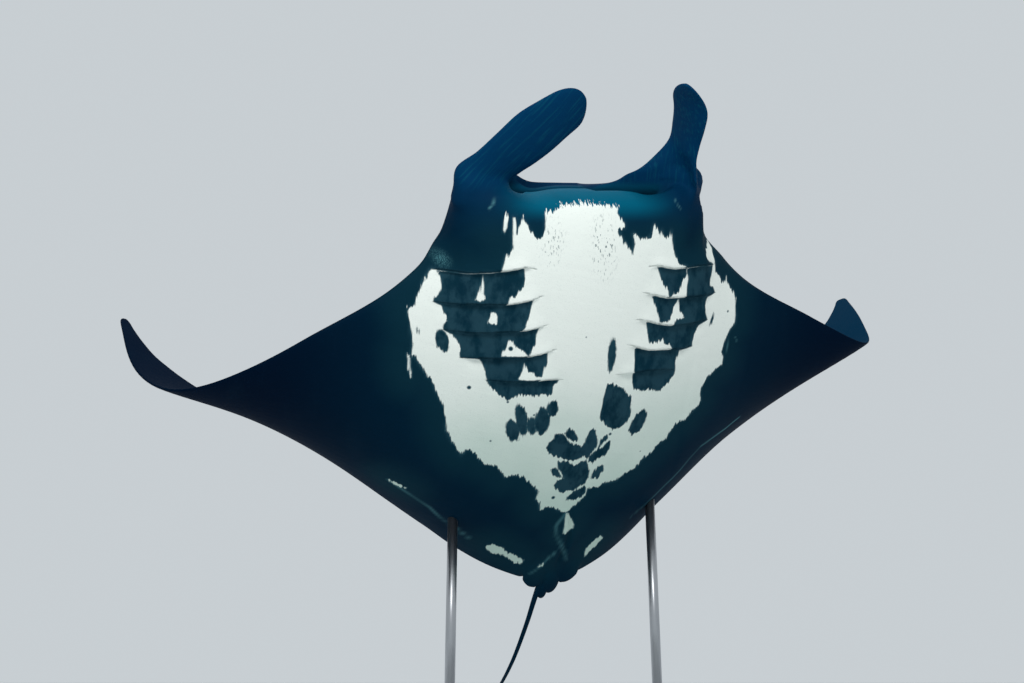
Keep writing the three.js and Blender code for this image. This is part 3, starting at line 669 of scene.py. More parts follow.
# The black on each gill flap: the side and number of the slit it fills from, where along the slit
# it starts and ends, and the rest of its outline.
PATCHES = [
    (-1, 0, -71, -34, [
        (-33.5, -65), (-34, -62), (-35.5, -59.5), (-37, -57.5), (-38, -56), (-39, -56.5), (-40, -56),
        (-41, -52.5), (-42, -51), (-69, -50.5), (-72.5, -52), (-72, -54.5), (-70.5, -55), (-69, -58),
        (-69, -61), (-69.5, -63.5)]),
    (-1, 1, -69.5, -29, [
        (-30, -51.5), (-31, -47.5), (-32, -44), (-32, -42.5), (-34.5, -40), (-35.5, -38.5), (-64, -37.5),
        (-68, -39.5), (-68, -41.5), (-67.5, -43), (-66, -43.5), (-66.5, -46), (-68, -49)]),
    (-1, 2, -64.5, -25.5, [
        (-26.5, -38.5), (-27, -34), (-28.5, -31), (-29, -29.5), (-30, -27.5), (-31, -26), (-50, -24.5),
        (-51.5, -26), (-60, -26.5), (-60.5, -29.5), (-60, -31), (-61, -33), (-62.5, -35.5)]),
    (-1, 3, -51, -20.5, [
        (-20.5, -25), (-21.5, -22.5), (-22.5, -18), (-23, -16.5), (-24, -14.5), (-40, -14.5), (-47, -15),
        (-47.5, -16.5), (-48.5, -19.5), (-49.5, -22.5)]),
    (-1, 4, -48, -14, [
        (-14.5, -14.5), (-16.5, -13), (-16.5, -10), (-17, -8), (-23.5, -8), (-29, -8.5), (-31.5, -9),
        (-34, -7.5), (-37.5, -6), (-41, -8.5), (-43.5, -10.5), (-46, -13)]),
    (1, 0, 30, 47.5, [
        (47.5, -64.5), (46.5, -62.5), (45, -60.5), (44.5, -58), (43, -55.5), (40.5, -55), (38, -53.5),
        (37, -56.5), (35.5, -59), (32.5, -63.5), (31.5, -66.5)]),
    (1, 0, 47.5, 65.5, [
        (65, -62), (64, -59.5), (64, -56.5), (66.5, -55.5), (68.5, -52), (64, -50.5), (46, -51.5),
        (48, -53), (48, -56), (48.5, -61.5)]),
    (1, 1, 28.5, 45, [
        (43.5, -49.5), (42, -48), (41.5, -45.5), (40, -42.5), (39, -41), (37.5, -42), (35.5, -41.5),
        (34, -42), (33, -46), (31.5, -50), (30, -53)]),
    (1, 1, 45, 64, [
        (63, -49), (62, -46.5), (63, -42.5), (65, -39), (60.5, -37), (42, -38), (42.5, -39.5),
        (43.5, -42), (46, -43), (49.5, -42), (47.5, -44.5), (45.5, -46.5), (45, -49)]),
    (1, 2, 27.5, 60.5, [
        (60, -36), (58, -34.5), (57, -31.5), (56.5, -29), (57, -26.5), (50.5, -25), (43.5, -26),
        (43.5, -28), (42, -29.5), (39.5, -30), (38.5, -32.5), (37.5, -32.5), (35, -32), (31.5, -31.5),
        (30, -31.5), (29, -35.5)]),
    (1, 3, 23, 50, [
        (49, -22.5), (48, -19.5), (48.5, -15), (48.5, -13.5), (30, -15), (24.5, -16), (23.5, -18.5),
        (23.5, -23.5)]),
    (1, 4, 24, 48.5, [
        (48, -12), (46.5, -11), (45, -8.5), (42.5, -6), (40.5, -5), (37.5, -6), (34, -7), (31, -6.5),
        (27.5, -7), (25.5, -8), (24, -12)]),
]


def patch_outline(side, slit, first, last, rest):
    """The outline of a black patch, whose front edge follows its gill slit."""
    x = np.linspace(first, last, 8) / 100
    y = curve_through(sorted(GILL_SLITS[side][slit]))(x) - 0.002
    return list(zip(x.tolist(), y.tolist())) + centimetres(rest)


GILL_PATCHES = [patch_outline(*patch) for patch in PATCHES]
WHITE_GAPS = [centimetres(outline) for outline in (
    [(-51.5, -66.5), (-51.5, -57.5), (-50.5, -55.5), (-53, -54), (-55, -54.5), (-54.5, -56),
     (-53.5, -58), (-52.5, -61), (-52, -64)],
    [(-47, -49), (-45, -47), (-45, -44), (-47, -43.5), (-49, -44), (-48.5, -46), (-47.5, -47.5)],
    [(-38.5, -36.5), (-37, -35), (-35.5, -32.5), (-33.5, -31.5), (-31.5, -30), (-30, -28.5),
     (-37, -28.5), (-42, -28.5), (-41, -30.5), (-39.5, -34)],
    [(-31, -25), (-30, -22.5), (-29, -20.5), (-27, -20), (-26, -18), (-24.5, -18.5), (-23.5, -18),
     (-20, -18.5), (-20, -17), (-28, -16.5), (-33.5, -17), (-32.5, -19), (-31.5, -21)],
)]
# Plain oval spots, each by its two ends and its width, then the lobed ones by their outlines.
OVAL_SPOTS = [
    (-35, 3.5, -31.5, 16.5, 6.5), (-32, -4.5, -27.5, 13.5, 6), (-26, 2.5, -23.5, 13.5, 4.5),
    (-20, -2, -19.5, 13, 7.5), (-16, -5.5, -15, 3.5, 6), (-69.5, -40, -66.5, -29, 6),
    (-79, -41, -78.5, -36.5, 1.5), (10.5, -36.5, 11.5, -19, 4.5), (69, -42, 67, -35, 2),
]
LOBED_SPOTS = [centimetres(outline) for outline in (
    [(9.5, -4.5), (11, -12.5), (13.5, -12.5), (16.5, -10.5), (20, -9.5), (22.5, -6), (25, -4.5),
     (25.5, 1.5), (26, 6), (25, 9.5), (22, 12), (19, 13.5), (15.5, 12), (12, 9), (9, 5.5), (9.5, 0)],
    [(33.5, 2.5), (36, 7), (35, 13), (33, 16.5), (29, 17.5), (26.5, 14.5), (27, 10.5), (29.5, 6)],
    [(-16.5, 20.5), (-15, 17), (-12.5, 16), (-12.5, 13.5), (-10, 12.5), (-7, 14.5), (-5.5, 17),
     (-2.5, 19), (-0.5, 19.5), (2, 20.5), (3.5, 19.5), (3.5, 16.5), (5, 13), (6.5, 11), (8.5, 12.5),
     (9, 15), (10.5, 17.5), (10.5, 22), (8.5, 25), (6.5, 28), (4, 27.5), (0.5, 29), (-4, 28),
     (-7.5, 27), (-11.5, 25), (-14.5, 23)],
    [(-7.5, 13), (-5.5, 9.5), (-3.5, 11), (-0.5, 15.5), (0, 18), (-3, 17.5), (-6, 15.5)],
    [(11.5, 22.5), (11.5, 18.5), (13, 15.5), (15, 15.5), (16, 17.5), (14, 20.5)],
    [(7, 31), (7, 27), (10, 24), (13, 23.5), (15.5, 20), (17.5, 19.5), (18, 23.5), (16, 27.5),
     (13, 28), (10, 31.5)],
    [(-9, 28.5), (-5.5, 28.5), (-2.5, 30), (0, 31.5), (2.5, 30.5), (5, 29), (6.5, 30), (7.5, 33),
     (9, 35.5), (9, 39.5), (8, 43), (5, 45.5), (2, 47), (-4, 48), (-7.5, 45.5), (-9.5, 43),
     (-8, 40.5), (-4.5, 39), (-5.5, 37), (-8, 33.5)],
    [(-12.5, 32.5), (-9.5, 32.5), (-7, 35), (-5, 38.5), (-7, 38.5), (-10.5, 36.5)],
    [(16, 33), (16.5, 36.5), (15, 40.5), (12.5, 42), (10.5, 41), (10.5, 37.5), (12.5, 34)],
    [(-1, 53), (-0.5, 50.5), (3, 47.5), (6, 45.5), (8.5, 45.5), (9, 49), (7, 52), (4, 53)],
)]
SMALL_DOTS = [
    (-55, -12, 1), (-8, 50.5, 1), (16.5, 15.5, 0.8), (-24, 2, 0.55), (-43, 16, 0.5), (78.5, -41.5, 0.6),
    (36, 28.5, 0.35), (-3, -37, 0.35), (-38, -32, 1.1), (-37, -5, 0.6),
]
WHITE_MARKS = [centimetres(outline) for outline in (
    [(0.5, 60.5), (3.5, 64), (6, 69), (6, 72), (4, 74.5), (1, 75), (1, 70), (0.5, 65)],
    [(-37.5, 81.5), (-35, 81.5), (-33, 80), (-29.5, 82), (-25.5, 86), (-21, 88), (-17, 91.5),
     (-18, 94.5), (-21, 93), (-26, 89), (-29.5, 87.5), (-33, 87), (-35.5, 85)],
    [(23.5, 80.5), (26, 82), (23, 87), (19.5, 90.5), (17.5, 94.5), (16.5, 89.5), (19, 85.5), (22, 82.5)],
    [(-8.5, 96.5), (-7.5, 95), (-5.5, 94.5), (-6.5, 96)],
    [(-86.5, 45), (-83, 46), (-78, 48), (-80, 49), (-85, 47.5)],
    [(-43, -93), (-42, -91), (-42.5, -88), (-43.5, -85.5), (-43.5, -90)],
    [(-83, -27.5), (-81.5, -26), (-81.5, -22), (-81, -16.5), (-82.5, -20), (-82.5, -25)],
)]
# Faint pale lines in the black: each a run of places, its half width and how strong it shows.
PALE_LINES = [
    ([(-86.5, 46), (-65.5, 58.5), (-59.5, 65.5), (-54.5, 69), (-44.5, 78)], 1.6, 0.5),
    ([(104, 27), (96.5, 31), (86, 33.5), (78, 35.5)], 1.2, 0.9),
    ([(78, 35.5), (72, 41), (67, 47.5), (60.5, 54), (55.5, 58.5), (47.5, 66.5), (41, 71.5)], 1.2, 0.4),
    ([(0, 61.5), (-3.5, 68.5), (-2.5, 75), (0.5, 80.5), (4, 87), (6.5, 93.5)], 1.6, 0.5),
    ([(0, 86.5), (-4.5, 92), (-7, 96.5), (-12.5, 100.5)], 1.3, 0.5),
    ([(-47, -100), (-47.5, -97.5), (-49, -95)], 0.6, 1.15),
    ([(38, -99), (39, -97), (41, -95)], 0.5, 0.5),
    ([(82, -33), (81.5, -25), (81, -18)], 0.4, 0.5),
    ([(86, -27), (87, -25)], 0.6, 0.5),
]


def depth_inside(x, y, outline):
    """Distance to an outline on the flat hide, above 0 inside it and below 0 outside."""
    best = np.full_like(x, 9.0)
    inside = np.zeros(len(x), bool)
    ends = outline[1:] + outline[:1]
    for (ax, ay), (bx, by) in zip(outline, ends):
        dx, dy = bx - ax, by - ay
        t = np.clip(((x - ax) * dx + (y - ay) * dy) / (dx * dx + dy * dy), 0, 1)
        best = np.minimum(best, np.hypot(x - ax - t * dx, y - ay - t * dy))
        if ay != by:
            inside ^= ((ay > y) != (by > y)) & (x < ax + (y - ay) * dx / dy)
    return np.where(inside, best, -best)


def depth_in_spot(x, y, spot):
    """How deep a place lies in an oval spot, above 0 inside it and below 0 outside."""
    ax, ay, bx, by, width = (length / 100 for length in spot)
    half = math.hypot(bx - ax, by - ay) / 2
    along = ((x - (ax + bx) / 2) * (bx - ax) + (y - (ay + by) / 2) * (by - ay)) / (2 * half)
    beside = ((x - (ax + bx) / 2) * (by - ay) - (y - (ay + by) / 2) * (bx - ax)) / (2 * half)
    return (1 - np.hypot(along / half, beside / (width / 2))) * min(half, width / 2)


def give(piece, name, values):
    """Writes a number for each vertex, for a finish to read."""
    layer = piece.data.attributes.new(name, "FLOAT", "POINT")
    layer.data.foreach_set("value", values.astype(np.float32))


def white_depths(x, y):
    """How deep each place lies in the white, and how deep in each of three groups of spots."""
    field = depth_inside(x, y, WHITE_FIELD)
    for patch in GILL_PATCHES:
        field = np.minimum(field, -depth_inside(x, y, patch))
    for gap in WHITE_GAPS + WHITE_MARKS:
        field = np.maximum(field, depth_inside(x, y, gap))
    groups = [np.full_like(x, -9.0) for _ in range(3)]
    depths = [depth_in_spot(x, y, spot) for spot in OVAL_SPOTS]
    depths += [depth_inside(x, y, outline) for outline in LOBED_SPOTS]
    for k, depth in enumerate(depths):
        groups[k % 3] = np.maximum(groups[k % 3], depth)
    return field, groups


def line_distance(x, y, run):
    """Distance to the nearest place on a run of straight lines."""
    best = np.full_like(x, 9.0)
    for (ax, ay), (bx, by) in zip(run[:-1], run[1:]):
        dx, dy = bx - ax, by - ay
        t = np.clip(((x - ax) * dx + (y - ay) * dy) / (dx * dx + dy * dy), 0, 1)
        best = np.minimum(best, np.hypot(x - ax - t * dx, y - ay - t * dy))
    return best


def give_drawn(name, values, elsewhere):
    """An attribute on the drawn part of the belly, and one value for the rest of the hide."""
    whole = np.full(len(flat_points), elsewhere)
    whole[drawn] = values
    give(hide, name, whole)


DRAWN_HALF_WIDTH, DRAWN_BACK, DRAWN_TOP = 1.3, 1.3, 0.012
drawn = ((np.abs(flat_points[:, 0]) < DRAWN_HALF_WIDTH) & (flat_points[:, 1] < DRAWN_BACK)
         & (flat_points[:, 2] < DRAWN_TOP))
bx, by = flat_points[drawn, 0], flat_points[drawn, 1]
white, spot_groups = white_depths(bx, by)
give_drawn("field", white, -1.0)
for k, group in enumerate(spot_groups):
    give_drawn(f"spots_{k}", group, -1.0)
give_drawn("on_belly", ramp(1 + depth_inside(bx, by, WHITE_FIELD) / 0.02), 0.0)

# Edges that run across the body are frayed into short hairs, and those along it, beside a gill slit
# or round a small white mark are cleaner.
PROBE = 0.003
ahead, behind = (
    np.minimum(depth, -np.max(spots, axis=0))
    for depth, spots in (white_depths(bx, by - PROBE), white_depths(bx, by + PROBE)))
crossing = np.clip(np.abs(ahead - behind) / (2 * PROBE), 0, 1)
all_slits = [slit for slits in GILL_SLITS.values() for slit in slits]
slit_distance = np.min([line_distance(bx, by, slit) for slit in all_slits], axis=0)
mark_distance = np.min([-depth_inside(bx, by, mark) for mark in WHITE_GAPS + WHITE_MARKS], axis=0)
off_slits = 0.08 + 0.92 * ramp((slit_distance - 0.010) / 0.03)
off_marks = 0.7 + 0.3 * ramp(mark_distance / 0.03)
give_drawn("raggedness", (0.25 + 0.75 * crossing) * off_slits * off_marks, 0.0)
waver = 0.75 + 0.25 * np.sin(by * 31 + bx * 17)
pale = [ramp(1 - line_distance(bx, by, centimetres(run)) * 100 / width) * strength * waver
        for run, width, strength in PALE_LINES]
give_drawn("pale_lines", np.max(pale, axis=0), 0.0)
layer = hide.data.attributes.new("lay", "FLOAT_VECTOR", "POINT")
layer.data.foreach_set("vector", flat_points.astype(np.float32).ravel())

for polygon in hide.data.polygons:
    polygon.use_smooth = True


class Amount:
    """A number that varies over a surface. Sums written with it add their Math nodes."""

    def __init__(self, finish, socket):
        self.finish, self.socket = finish, socket

    def __add__(self, other):
        return self.finish.math("ADD", self, other)

    def __sub__(self, other):
        return self.finish.math("SUBTRACT", self, other)

    def __rsub__(self, other):
        return self.finish.math("SUBTRACT", other, self)

    def __mul__(self, other):
        return self.finish.math("MULTIPLY", self, other)

    def __truediv__(self, other):
        return self.finish.math("DIVIDE", self, other)

    __radd__, __rmul__ = __add__, __mul__


class Finish:
    """A procedural material under one Principled shader."""

    def __init__(self, name, **sockets):
        self.material = bpy.data.materials.new(name)
        self.material.use_nodes = True
        self.tree = self.material.node_tree
        self.shader = self.tree.nodes["Principled BSDF"]
        self.set(self.shader, sockets)

    def set(self, node, sockets):
        for key, value in sockets.items():
            socket = node.inputs[key.replace("_", " ") if isinstance(key, str) else key]
            if isinstance(value, Amount):
                value = value.socket
            if isinstance(value, bpy.types.NodeSocket):
                self.tree.links.new(value, socket)
            else:
                socket.default_value = value

    def node(self, kind, settings=None, sockets=None):
        node = self.tree.nodes.new("ShaderNode" + kind)
        for key, value in (settings or {}).items():
            if key == "stops":
                ramp_stops = node.color_ramp.elements
                while len(ramp_stops) < len(value):
                    ramp_stops.new(1)
                for stop, (place, colour) in zip(ramp_stops, value):
                    stop.position, stop.color = place, colour
            else:
                setattr(node, key, value)
        self.set(node, sockets or {})
        return node

    def math(self, operation, a, b=0.0, clamp=False):
        node = self.node("Math", {"operation": operation, "use_clamp": clamp}, {0: a, 1: b})
        return Amount(self, node.outputs[0])

    def noise(self, vector, scale, detail=2.0, roughness=0.5):
        node = self.node("TexNoise", {}, {
            "Vector": vector, "Scale": scale, "Detail": detail, "Roughness": roughness})
        return Amount(self, node.outputs[0])

    def attribute(self, name):
        return Amount(self, self.node("Attribute", {"attribute_name": name}).outputs["Fac"])

    def away(self, x, y, from_x, from_y, squeeze=1.0):
        """Distance from a place, with X counted more or less."""
        return self.math("POWER", (x - from_x) * (x - from_x) * squeeze + (y - from_y) * (y - from_y), 0.5)

    def stretched(self, vector, scale, turn=0.0):
        """Coordinates scaled along axes that are first turned about Z."""
        return self.node("Mapping", {"vector_type": "TEXTURE"}, {
            "Vector": vector, "Scale": [1 / k for k in scale], "Rotation": (0, 0, turn)}).outputs[0]

    def between(self, amount, low, high):
        """0 at low and 1 at high, and smooth in between."""
        node = self.node("MapRange", {"interpolation_type": "SMOOTHSTEP"}, {
            "Value": amount, "From Min": low, "From Max": high})
        return Amount(self, node.outputs[0])

    def mix(self, factor, first, second, blend="MIX"):
        node = self.node("Mix", {"data_type": "RGBA", "blend_type": blend}, {0: factor, 6: first, 7: second})
        return node.outputs[2]

    def bump(self, height, distance, strength=1.0):
        node = self.node("Bump", {}, {"Height": height, "Distance": distance, "Strength": strength})
        return node.outputs[0]


def colour(red, green, blue):
    """A paint colour given as 0 to 255 on a screen."""
    linear = [((v / 255 + 0.055) / 1.055) ** 2.4 if v > 10 else v / 255 / 12.92 for v in (red, green, blue)]
    return (*linear, 1.0)


skin = Finish("hide", Specular_IOR_Level=0.02, Coat_Roughness=0.34, Coat_IOR=1.35)
lay = skin.node("Attribute", {"attribute_name": "lay"}).outputs["Vector"]
lay_axes = skin.node("SeparateXYZ", {}, {"Vector": lay})
left, back, height = (Amount(skin, lay_axes.outputs[axis]) for axis in "XYZ")
from_middle = skin.math("ABSOLUTE", left)

# The edges of the white and of the spots, drawn by attributes and then frayed.
streaks = skin.noise(skin.stretched(lay, (78, 9, 30)), 1.0, 2.0, 0.55) - 0.5
hairs = skin.noise(skin.stretched(lay, (240, 22, 60)), 1.0, 1.0) - 0.5
lumps = skin.noise(lay, 34.0, 2.0, 0.5) - 0.5
chin = skin.between(back, -0.9, -0.95)
ragged = skin.attribute("raggedness")
field = skin.attribute("field")
field_edge = field + (streaks * 0.052 + hairs * 0.016 + lumps * 0.014) * ragged + hairs * chin * 0.03
spot_edge = skin.attribute("spots_0")
for k in (1, 2):
    spot_edge = skin.math("MAXIMUM", spot_edge, skin.attribute(f"spots_{k}"))
spot_edge = spot_edge + (streaks * 0.045 + hairs * 0.012 + lumps * 0.012) * ragged + lumps * 0.005
for dot in SMALL_DOTS:
    dot_x, dot_y, dot_radius = (length / 100 for length in dot)
    spot_edge = skin.math("MAXIMUM", spot_edge, dot_radius - skin.away(left, back, dot_x, dot_y))
white_edge = skin.math("MINIMUM", field_edge, 0 - spot_edge)
white_share = skin.between(white_edge, -0.004, 0.003)

# The belly's white is painted greyer towards the tail, painted shade where the light falls off, with a few
# flecks behind the chin.
soft_cloud = skin.noise(lay, 2.6, 3.0)
fine_grain = skin.noise(lay, 190.0, 2.0)
# Painted shade: the white darkens towards the tail, as the light falls off there.
belly_white_and_shade = skin.mix(skin.between(back + (soft_cloud - 0.5) * 0.5, -0.42, 0.65),
                      colour(248, 253, 245), colour(198, 220, 208))
flecks = skin.between(skin.noise(skin.stretched(lay, (150, 46, 90)), 1.0, 1.0), 0.6, 0.67)
FLECKED = ((-0.225, -0.81), (0.015, -0.83), (0.03, -0.74))
fleck_places = 0.0
for fleck_x, fleck_y in FLECKED:
    fleck_away = skin.away(left, back, fleck_x, fleck_y, 3.2)
    fleck_places = skin.between(fleck_away, 0.15, 0.04) + fleck_places
speckle = skin.between(fine_grain, 0.56, 0.7)
belly_white_and_shade = skin.mix(flecks * fleck_places * 0.6 + speckle * 0.09, belly_white_and_shade, colour(104, 122, 124))

# The dark skin is mottled where it lies in the white field, and plain blue-black beyond it.
depth_of_dark = 0 - white_edge
mottle = skin.between(skin.noise(skin.stretched(lay, (16, 9, 12)), 1.0, 5.0, 0.62), 0.34, 0.6)
mottle = mottle * skin.attribute("on_belly")
patch_tone = skin.mix(
    skin.between(depth_of_dark, 0.0, 0.010), colour(42, 80, 92),
    skin.mix(mottle, colour(10, 46, 60), colour(34, 67, 80)))
wing_tone = skin.mix(skin.between(from_middle, 0.75, 1.5), colour(1, 33, 52), colour(0, 19, 40))
dark_tone = skin.mix(skin.between(0 - field, 0.02, 0.2), patch_tone, wing_tone)
dark_tone = skin.mix(skin.between(back, -0.8, -1.06), dark_tone, colour(1, 42, 72))

# A brighter band runs along the lower lip, and the roof of the mouth is painted darker deeper inside its
# paler rim: painted shade in the mouth's recess.
lip_band = skin.between(back, -0.89, -0.975) * (1 - skin.between(back, -1.03, -1.06))
lip_band = lip_band * (1 - skin.between(skin.math("ABSOLUTE", left + 0.04), 0.2, 0.46))
lip_band = lip_band * (1 - skin.between(height, -0.034, -0.018))
dark_tone = skin.mix(lip_band * 0.92, dark_tone, colour(2, 94, 120))
palate = skin.between(height, -0.034, -0.018) * (1 - skin.between(height, 0.0, 0.02))
palate = palate * skin.between(back, -0.8, -0.86) * (1 - skin.between(back, -1.02, -1.05))
palate = palate * (1 - skin.between(from_middle, 0.38, 0.46))
# Painted shade: the roof of the mouth darkens from its rim into the mouth.
dark_tone = skin.mix(palate, dark_tone, skin.mix(
    skin.between(back, -0.97, -1.02), colour(1, 24, 40), colour(2, 62, 86)))

# Soft clouds, pale specks like dust beside the first right gill, and pale lines in the black.
cloud = skin.noise(skin.stretched(lay, (6, 2.0, 4)), 1.0, 4.0)
dark_tone = skin.mix(skin.between(cloud, 0.5, 0.85) * 0.3, dark_tone, colour(14, 40, 58))
dust = skin.between(skin.away(left, back, -0.68, -0.71), 0.055, 0.0) * skin.between(
    skin.noise(lay, 230.0, 2.0), 0.4, 0.62)
dust = dust * skin.between(height, 0.01, -0.01)
pale_lines = skin.attribute("pale_lines")
dark_tone = skin.mix(dust * 0.7 + pale_lines * 0.85, dark_tone, colour(84, 140, 148))

# Fine lines run out along the head fins.
fin_lines_right = skin.noise(skin.stretched(lay, (120, 6, 24), 0.72), 1.0, 2.0)
fin_lines_left = skin.noise(skin.stretched(lay, (110, 6, 110)), 1.0, 2.0)
left_share = skin.between(left, -0.05, 0.05)
fin_lines = fin_lines_right * (1 - left_share) + fin_lines_left * left_share
on_fins = skin.between(back, -1.0, -1.08)
dark_tone = skin.mix(on_fins * 0.8, dark_tone, colour(1, 52, 88))
dark_tone = skin.mix(
    skin.between(fin_lines, 0.5, 0.68) * on_fins * 0.3, dark_tone, colour(14, 86, 104))

# Two faint paler bars lie on the shoulders, and the back of the left wing's tip, where it curls up, is
# painted bluer and lighter: painted light from above.
bar_front = back + 0.86 - from_middle * 0.2 + (streaks * 0.12 + hairs * 0.03)
bar_rear = 0.2 - bar_front - from_middle * 0.16 + (cloud - 0.5) * 0.25
bar = skin.between(bar_front, 0.0, 0.012) * skin.between(bar_rear, 0.0, 0.11)
bar = bar * skin.between(from_middle + streaks * 0.06, 0.09, 0.13)
bar = bar * (1 - skin.between(from_middle, 0.4, 0.62))
bar = bar * skin.between(height, 0.05, 0.08)
dark_tone = skin.mix(bar * (0.35 + cloud * 0.6), dark_tone, colour(118, 132, 140))
# Painted light: the back of the curled left tip is lightened where light from above falls on it.
lit_curled_tip = skin.between(left, 1.5, 1.75) * skin.between(height, -0.002, 0.002)
dark_tone = skin.mix(lit_curled_tip * 0.9, dark_tone, colour(0, 46, 72))

# Satin varnish catches the light on the thick of the back, as wet skin does.
varnish = skin.between(height, 0.03, 0.12) * (0.35 + cloud * 0.3)
creases = skin.noise(skin.stretched(lay, (9, 26, 9), 0.25), 1.0, 3.0)
skin.set(skin.shader, {
    "Base Color": skin.mix(white_share, dark_tone, belly_white_and_shade),
    "Roughness": 0.52 + fine_grain * 0.14 + skin.between(from_middle, 1.2, 2.0) * 0.16,
    "Coat Weight": varnish,
    "Normal": skin.bump(
        fine_grain + creases * 2.4 + fin_lines * on_fins * 1.6 + white_share * 0.3, 0.002, 0.4),
})
hide.data.materials.clear()
hide.data.materials.append(skin.material)
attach(hide, "root")
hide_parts(*[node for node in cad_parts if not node.startswith(("stand_", "eye_"))])

# ---------------------------------------------------------------- the eyes
# Each eye is a dark wet ball in its mound, with a bronze ring round a wide pupil.

eye_finish = Finish("eye", Roughness=0.06, Coat_Weight=1.0, Coat_Roughness=0.02)
for side, place in EYES.items():
    eye = solid_object(f"eyeball_{side}", *ball(place, [EYE_RADIUS] * 3, 40, 26))
    flat = read_points(eye.data)                 # in the head's own axes, before it is posed
    gaze = unit(np.array([math.copysign(0.92, place[0]), -0.36, 0.1]))
    give(eye, "outward", (flat - np.array(place)) @ gaze / EYE_RADIUS)
    write_points(eye.data, posed(bend(flat)))
    for polygon in eye.data.polygons:
        polygon.use_smooth = True
    eye.data.materials.append(eye_finish.material)
    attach(eye, "root")
    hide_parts(f"eye_{side}")
outward = eye_finish.attribute("outward")
iris = eye_finish.between(outward, 0.70, 0.76) * (1 - eye_finish.between(outward, 0.9, 0.92))
eye_finish.set(eye_finish.shader, {
    "Base Color": eye_finish.mix(iris, colour(10, 11, 14), colour(96, 84, 60)),
})

# ---------------------------------------------------------------- the stand's base
# A pale painted board with rounded corners and an eased edge, flat on the floor.

paint = Finish("stand_paint", Roughness=0.5)
spot_noise = paint.noise(paint.node("TexCoord").outputs["Object"], 60.0, 3.0)
paint.set(paint.shader, {
    "Base Color": paint.mix(spot_noise * 0.35, colour(205, 208, 210), colour(190, 194, 197)),
    "Roughness": 0.42 + spot_noise * 0.16,
    "Normal": paint.bump(spot_noise, 0.0006, 0.3),
})
low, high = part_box("stand_base")
CORNER, EASE, FOOT = 0.12, 0.006, (0.001, 0.002)


def rounded_ring(inset, height):
    """The board's outline at one height, drawn in from its full size."""
    points = []
    for k, (sx, sy) in enumerate(((1, -1), (1, 1), (-1, 1), (-1, -1))):
        for turn in np.linspace(0, math.pi / 2, 13):
            angle = turn + (k - 1) * math.pi / 2
            radius = CORNER - inset
            points.append((sx * (high.x - CORNER) + radius * math.cos(angle),
                           sy * (high.y - CORNER) + radius * math.sin(angle), height))
    return points


levels = [(EASE, 0), FOOT, (0, EASE)]
rise = [(inset, height) for inset, height in levels] + [
    (inset, high.z - height) for inset, height in reversed(levels)]
base = solid_object("base", *skin_over(np.array([rounded_ring(*step) for step in rise])))
base.data.materials.append(paint.material)
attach(base, "root")
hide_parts("stand_base")

# ---------------------------------------------------------------- the stand's rods and collars
# Two round steel rods stand in turned collars and run up into the hide. Each collar is a flange
# with an eased rim, whose top rises a little to a short neck round the rod.

BORE_PLAY = 0.001                    # between a rod and its collar
NECK_WALL, NECK_FOOT, NECK_HEIGHT = 0.012, 0.014, 0.01
RIM_DROP, RIM_EASE = 0.012, 0.004    # the flange's rim lies this far below the neck's top

steel = Finish("stand_steel", Roughness=0.32, Metallic=1.0)
grain = steel.noise(steel.stretched(steel.node("TexCoord").outputs["Object"], (260, 260, 3)), 1.0, 3.0)
steel.set(steel.shader, {
    "Base Color": steel.mix(grain * 0.5, colour(188, 190, 193), colour(150, 153, 157)),
    "Roughness": 0.24 + grain * 0.2,
})


def turned_profile(name, centre, profile, sides=64):
    """A round piece turned from (radius, height) steps about an upright line."""
    turn = np.linspace(0, 2 * math.pi, sides, endpoint=False)
    rings = np.array([
        np.stack([centre[0] + radius * np.cos(turn), centre[1] + radius * np.sin(turn),
                  np.full_like(turn, height)], 1) for radius, height in profile])
    piece = solid_object(name, *skin_over(rings))
    for polygon in piece.data.polygons:
        polygon.use_smooth = len(polygon.vertices) == 4
    return piece


for side in ("left", "right"):
    low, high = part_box(f"stand_rod_{side}")
    centre = ((low.x + high.x) / 2, (low.y + high.y) / 2)
    radius = (high.x - low.x) / 2
    rod = turned_profile(f"rod_{side}", centre, [(radius, low.z), (radius, high.z)])
    low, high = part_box(f"stand_collar_{side}")
    wide = (high.x - low.x) / 2
    collar = turned_profile(f"collar_{side}", centre, [
        (radius + BORE_PLAY, low.z), (wide, low.z), (wide, high.z - RIM_DROP - RIM_EASE),
        (wide - RIM_EASE, high.z - RIM_DROP), (radius + NECK_FOOT, high.z - NECK_HEIGHT),
        (radius + NECK_WALL, high.z), (radius + BORE_PLAY, high.z)])
    for piece, part in ((rod, "rod"), (collar, "collar")):
        piece.data.materials.append(steel.material)
        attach(piece, "root")
        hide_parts(f"stand_{part}_{side}")

# ---------------------------------------------------------------- the collars' screws
# Four socket-head screws hold each collar to the base, evenly round it.

SCREW = {"Count": 4, "Circle Radius": 0.0, "Head Radius": 0.0052, "Head Height": 0.0055,
         "Key Width": 0.0052}
SUNK = 0.0008                        # how far each head sits in the flange


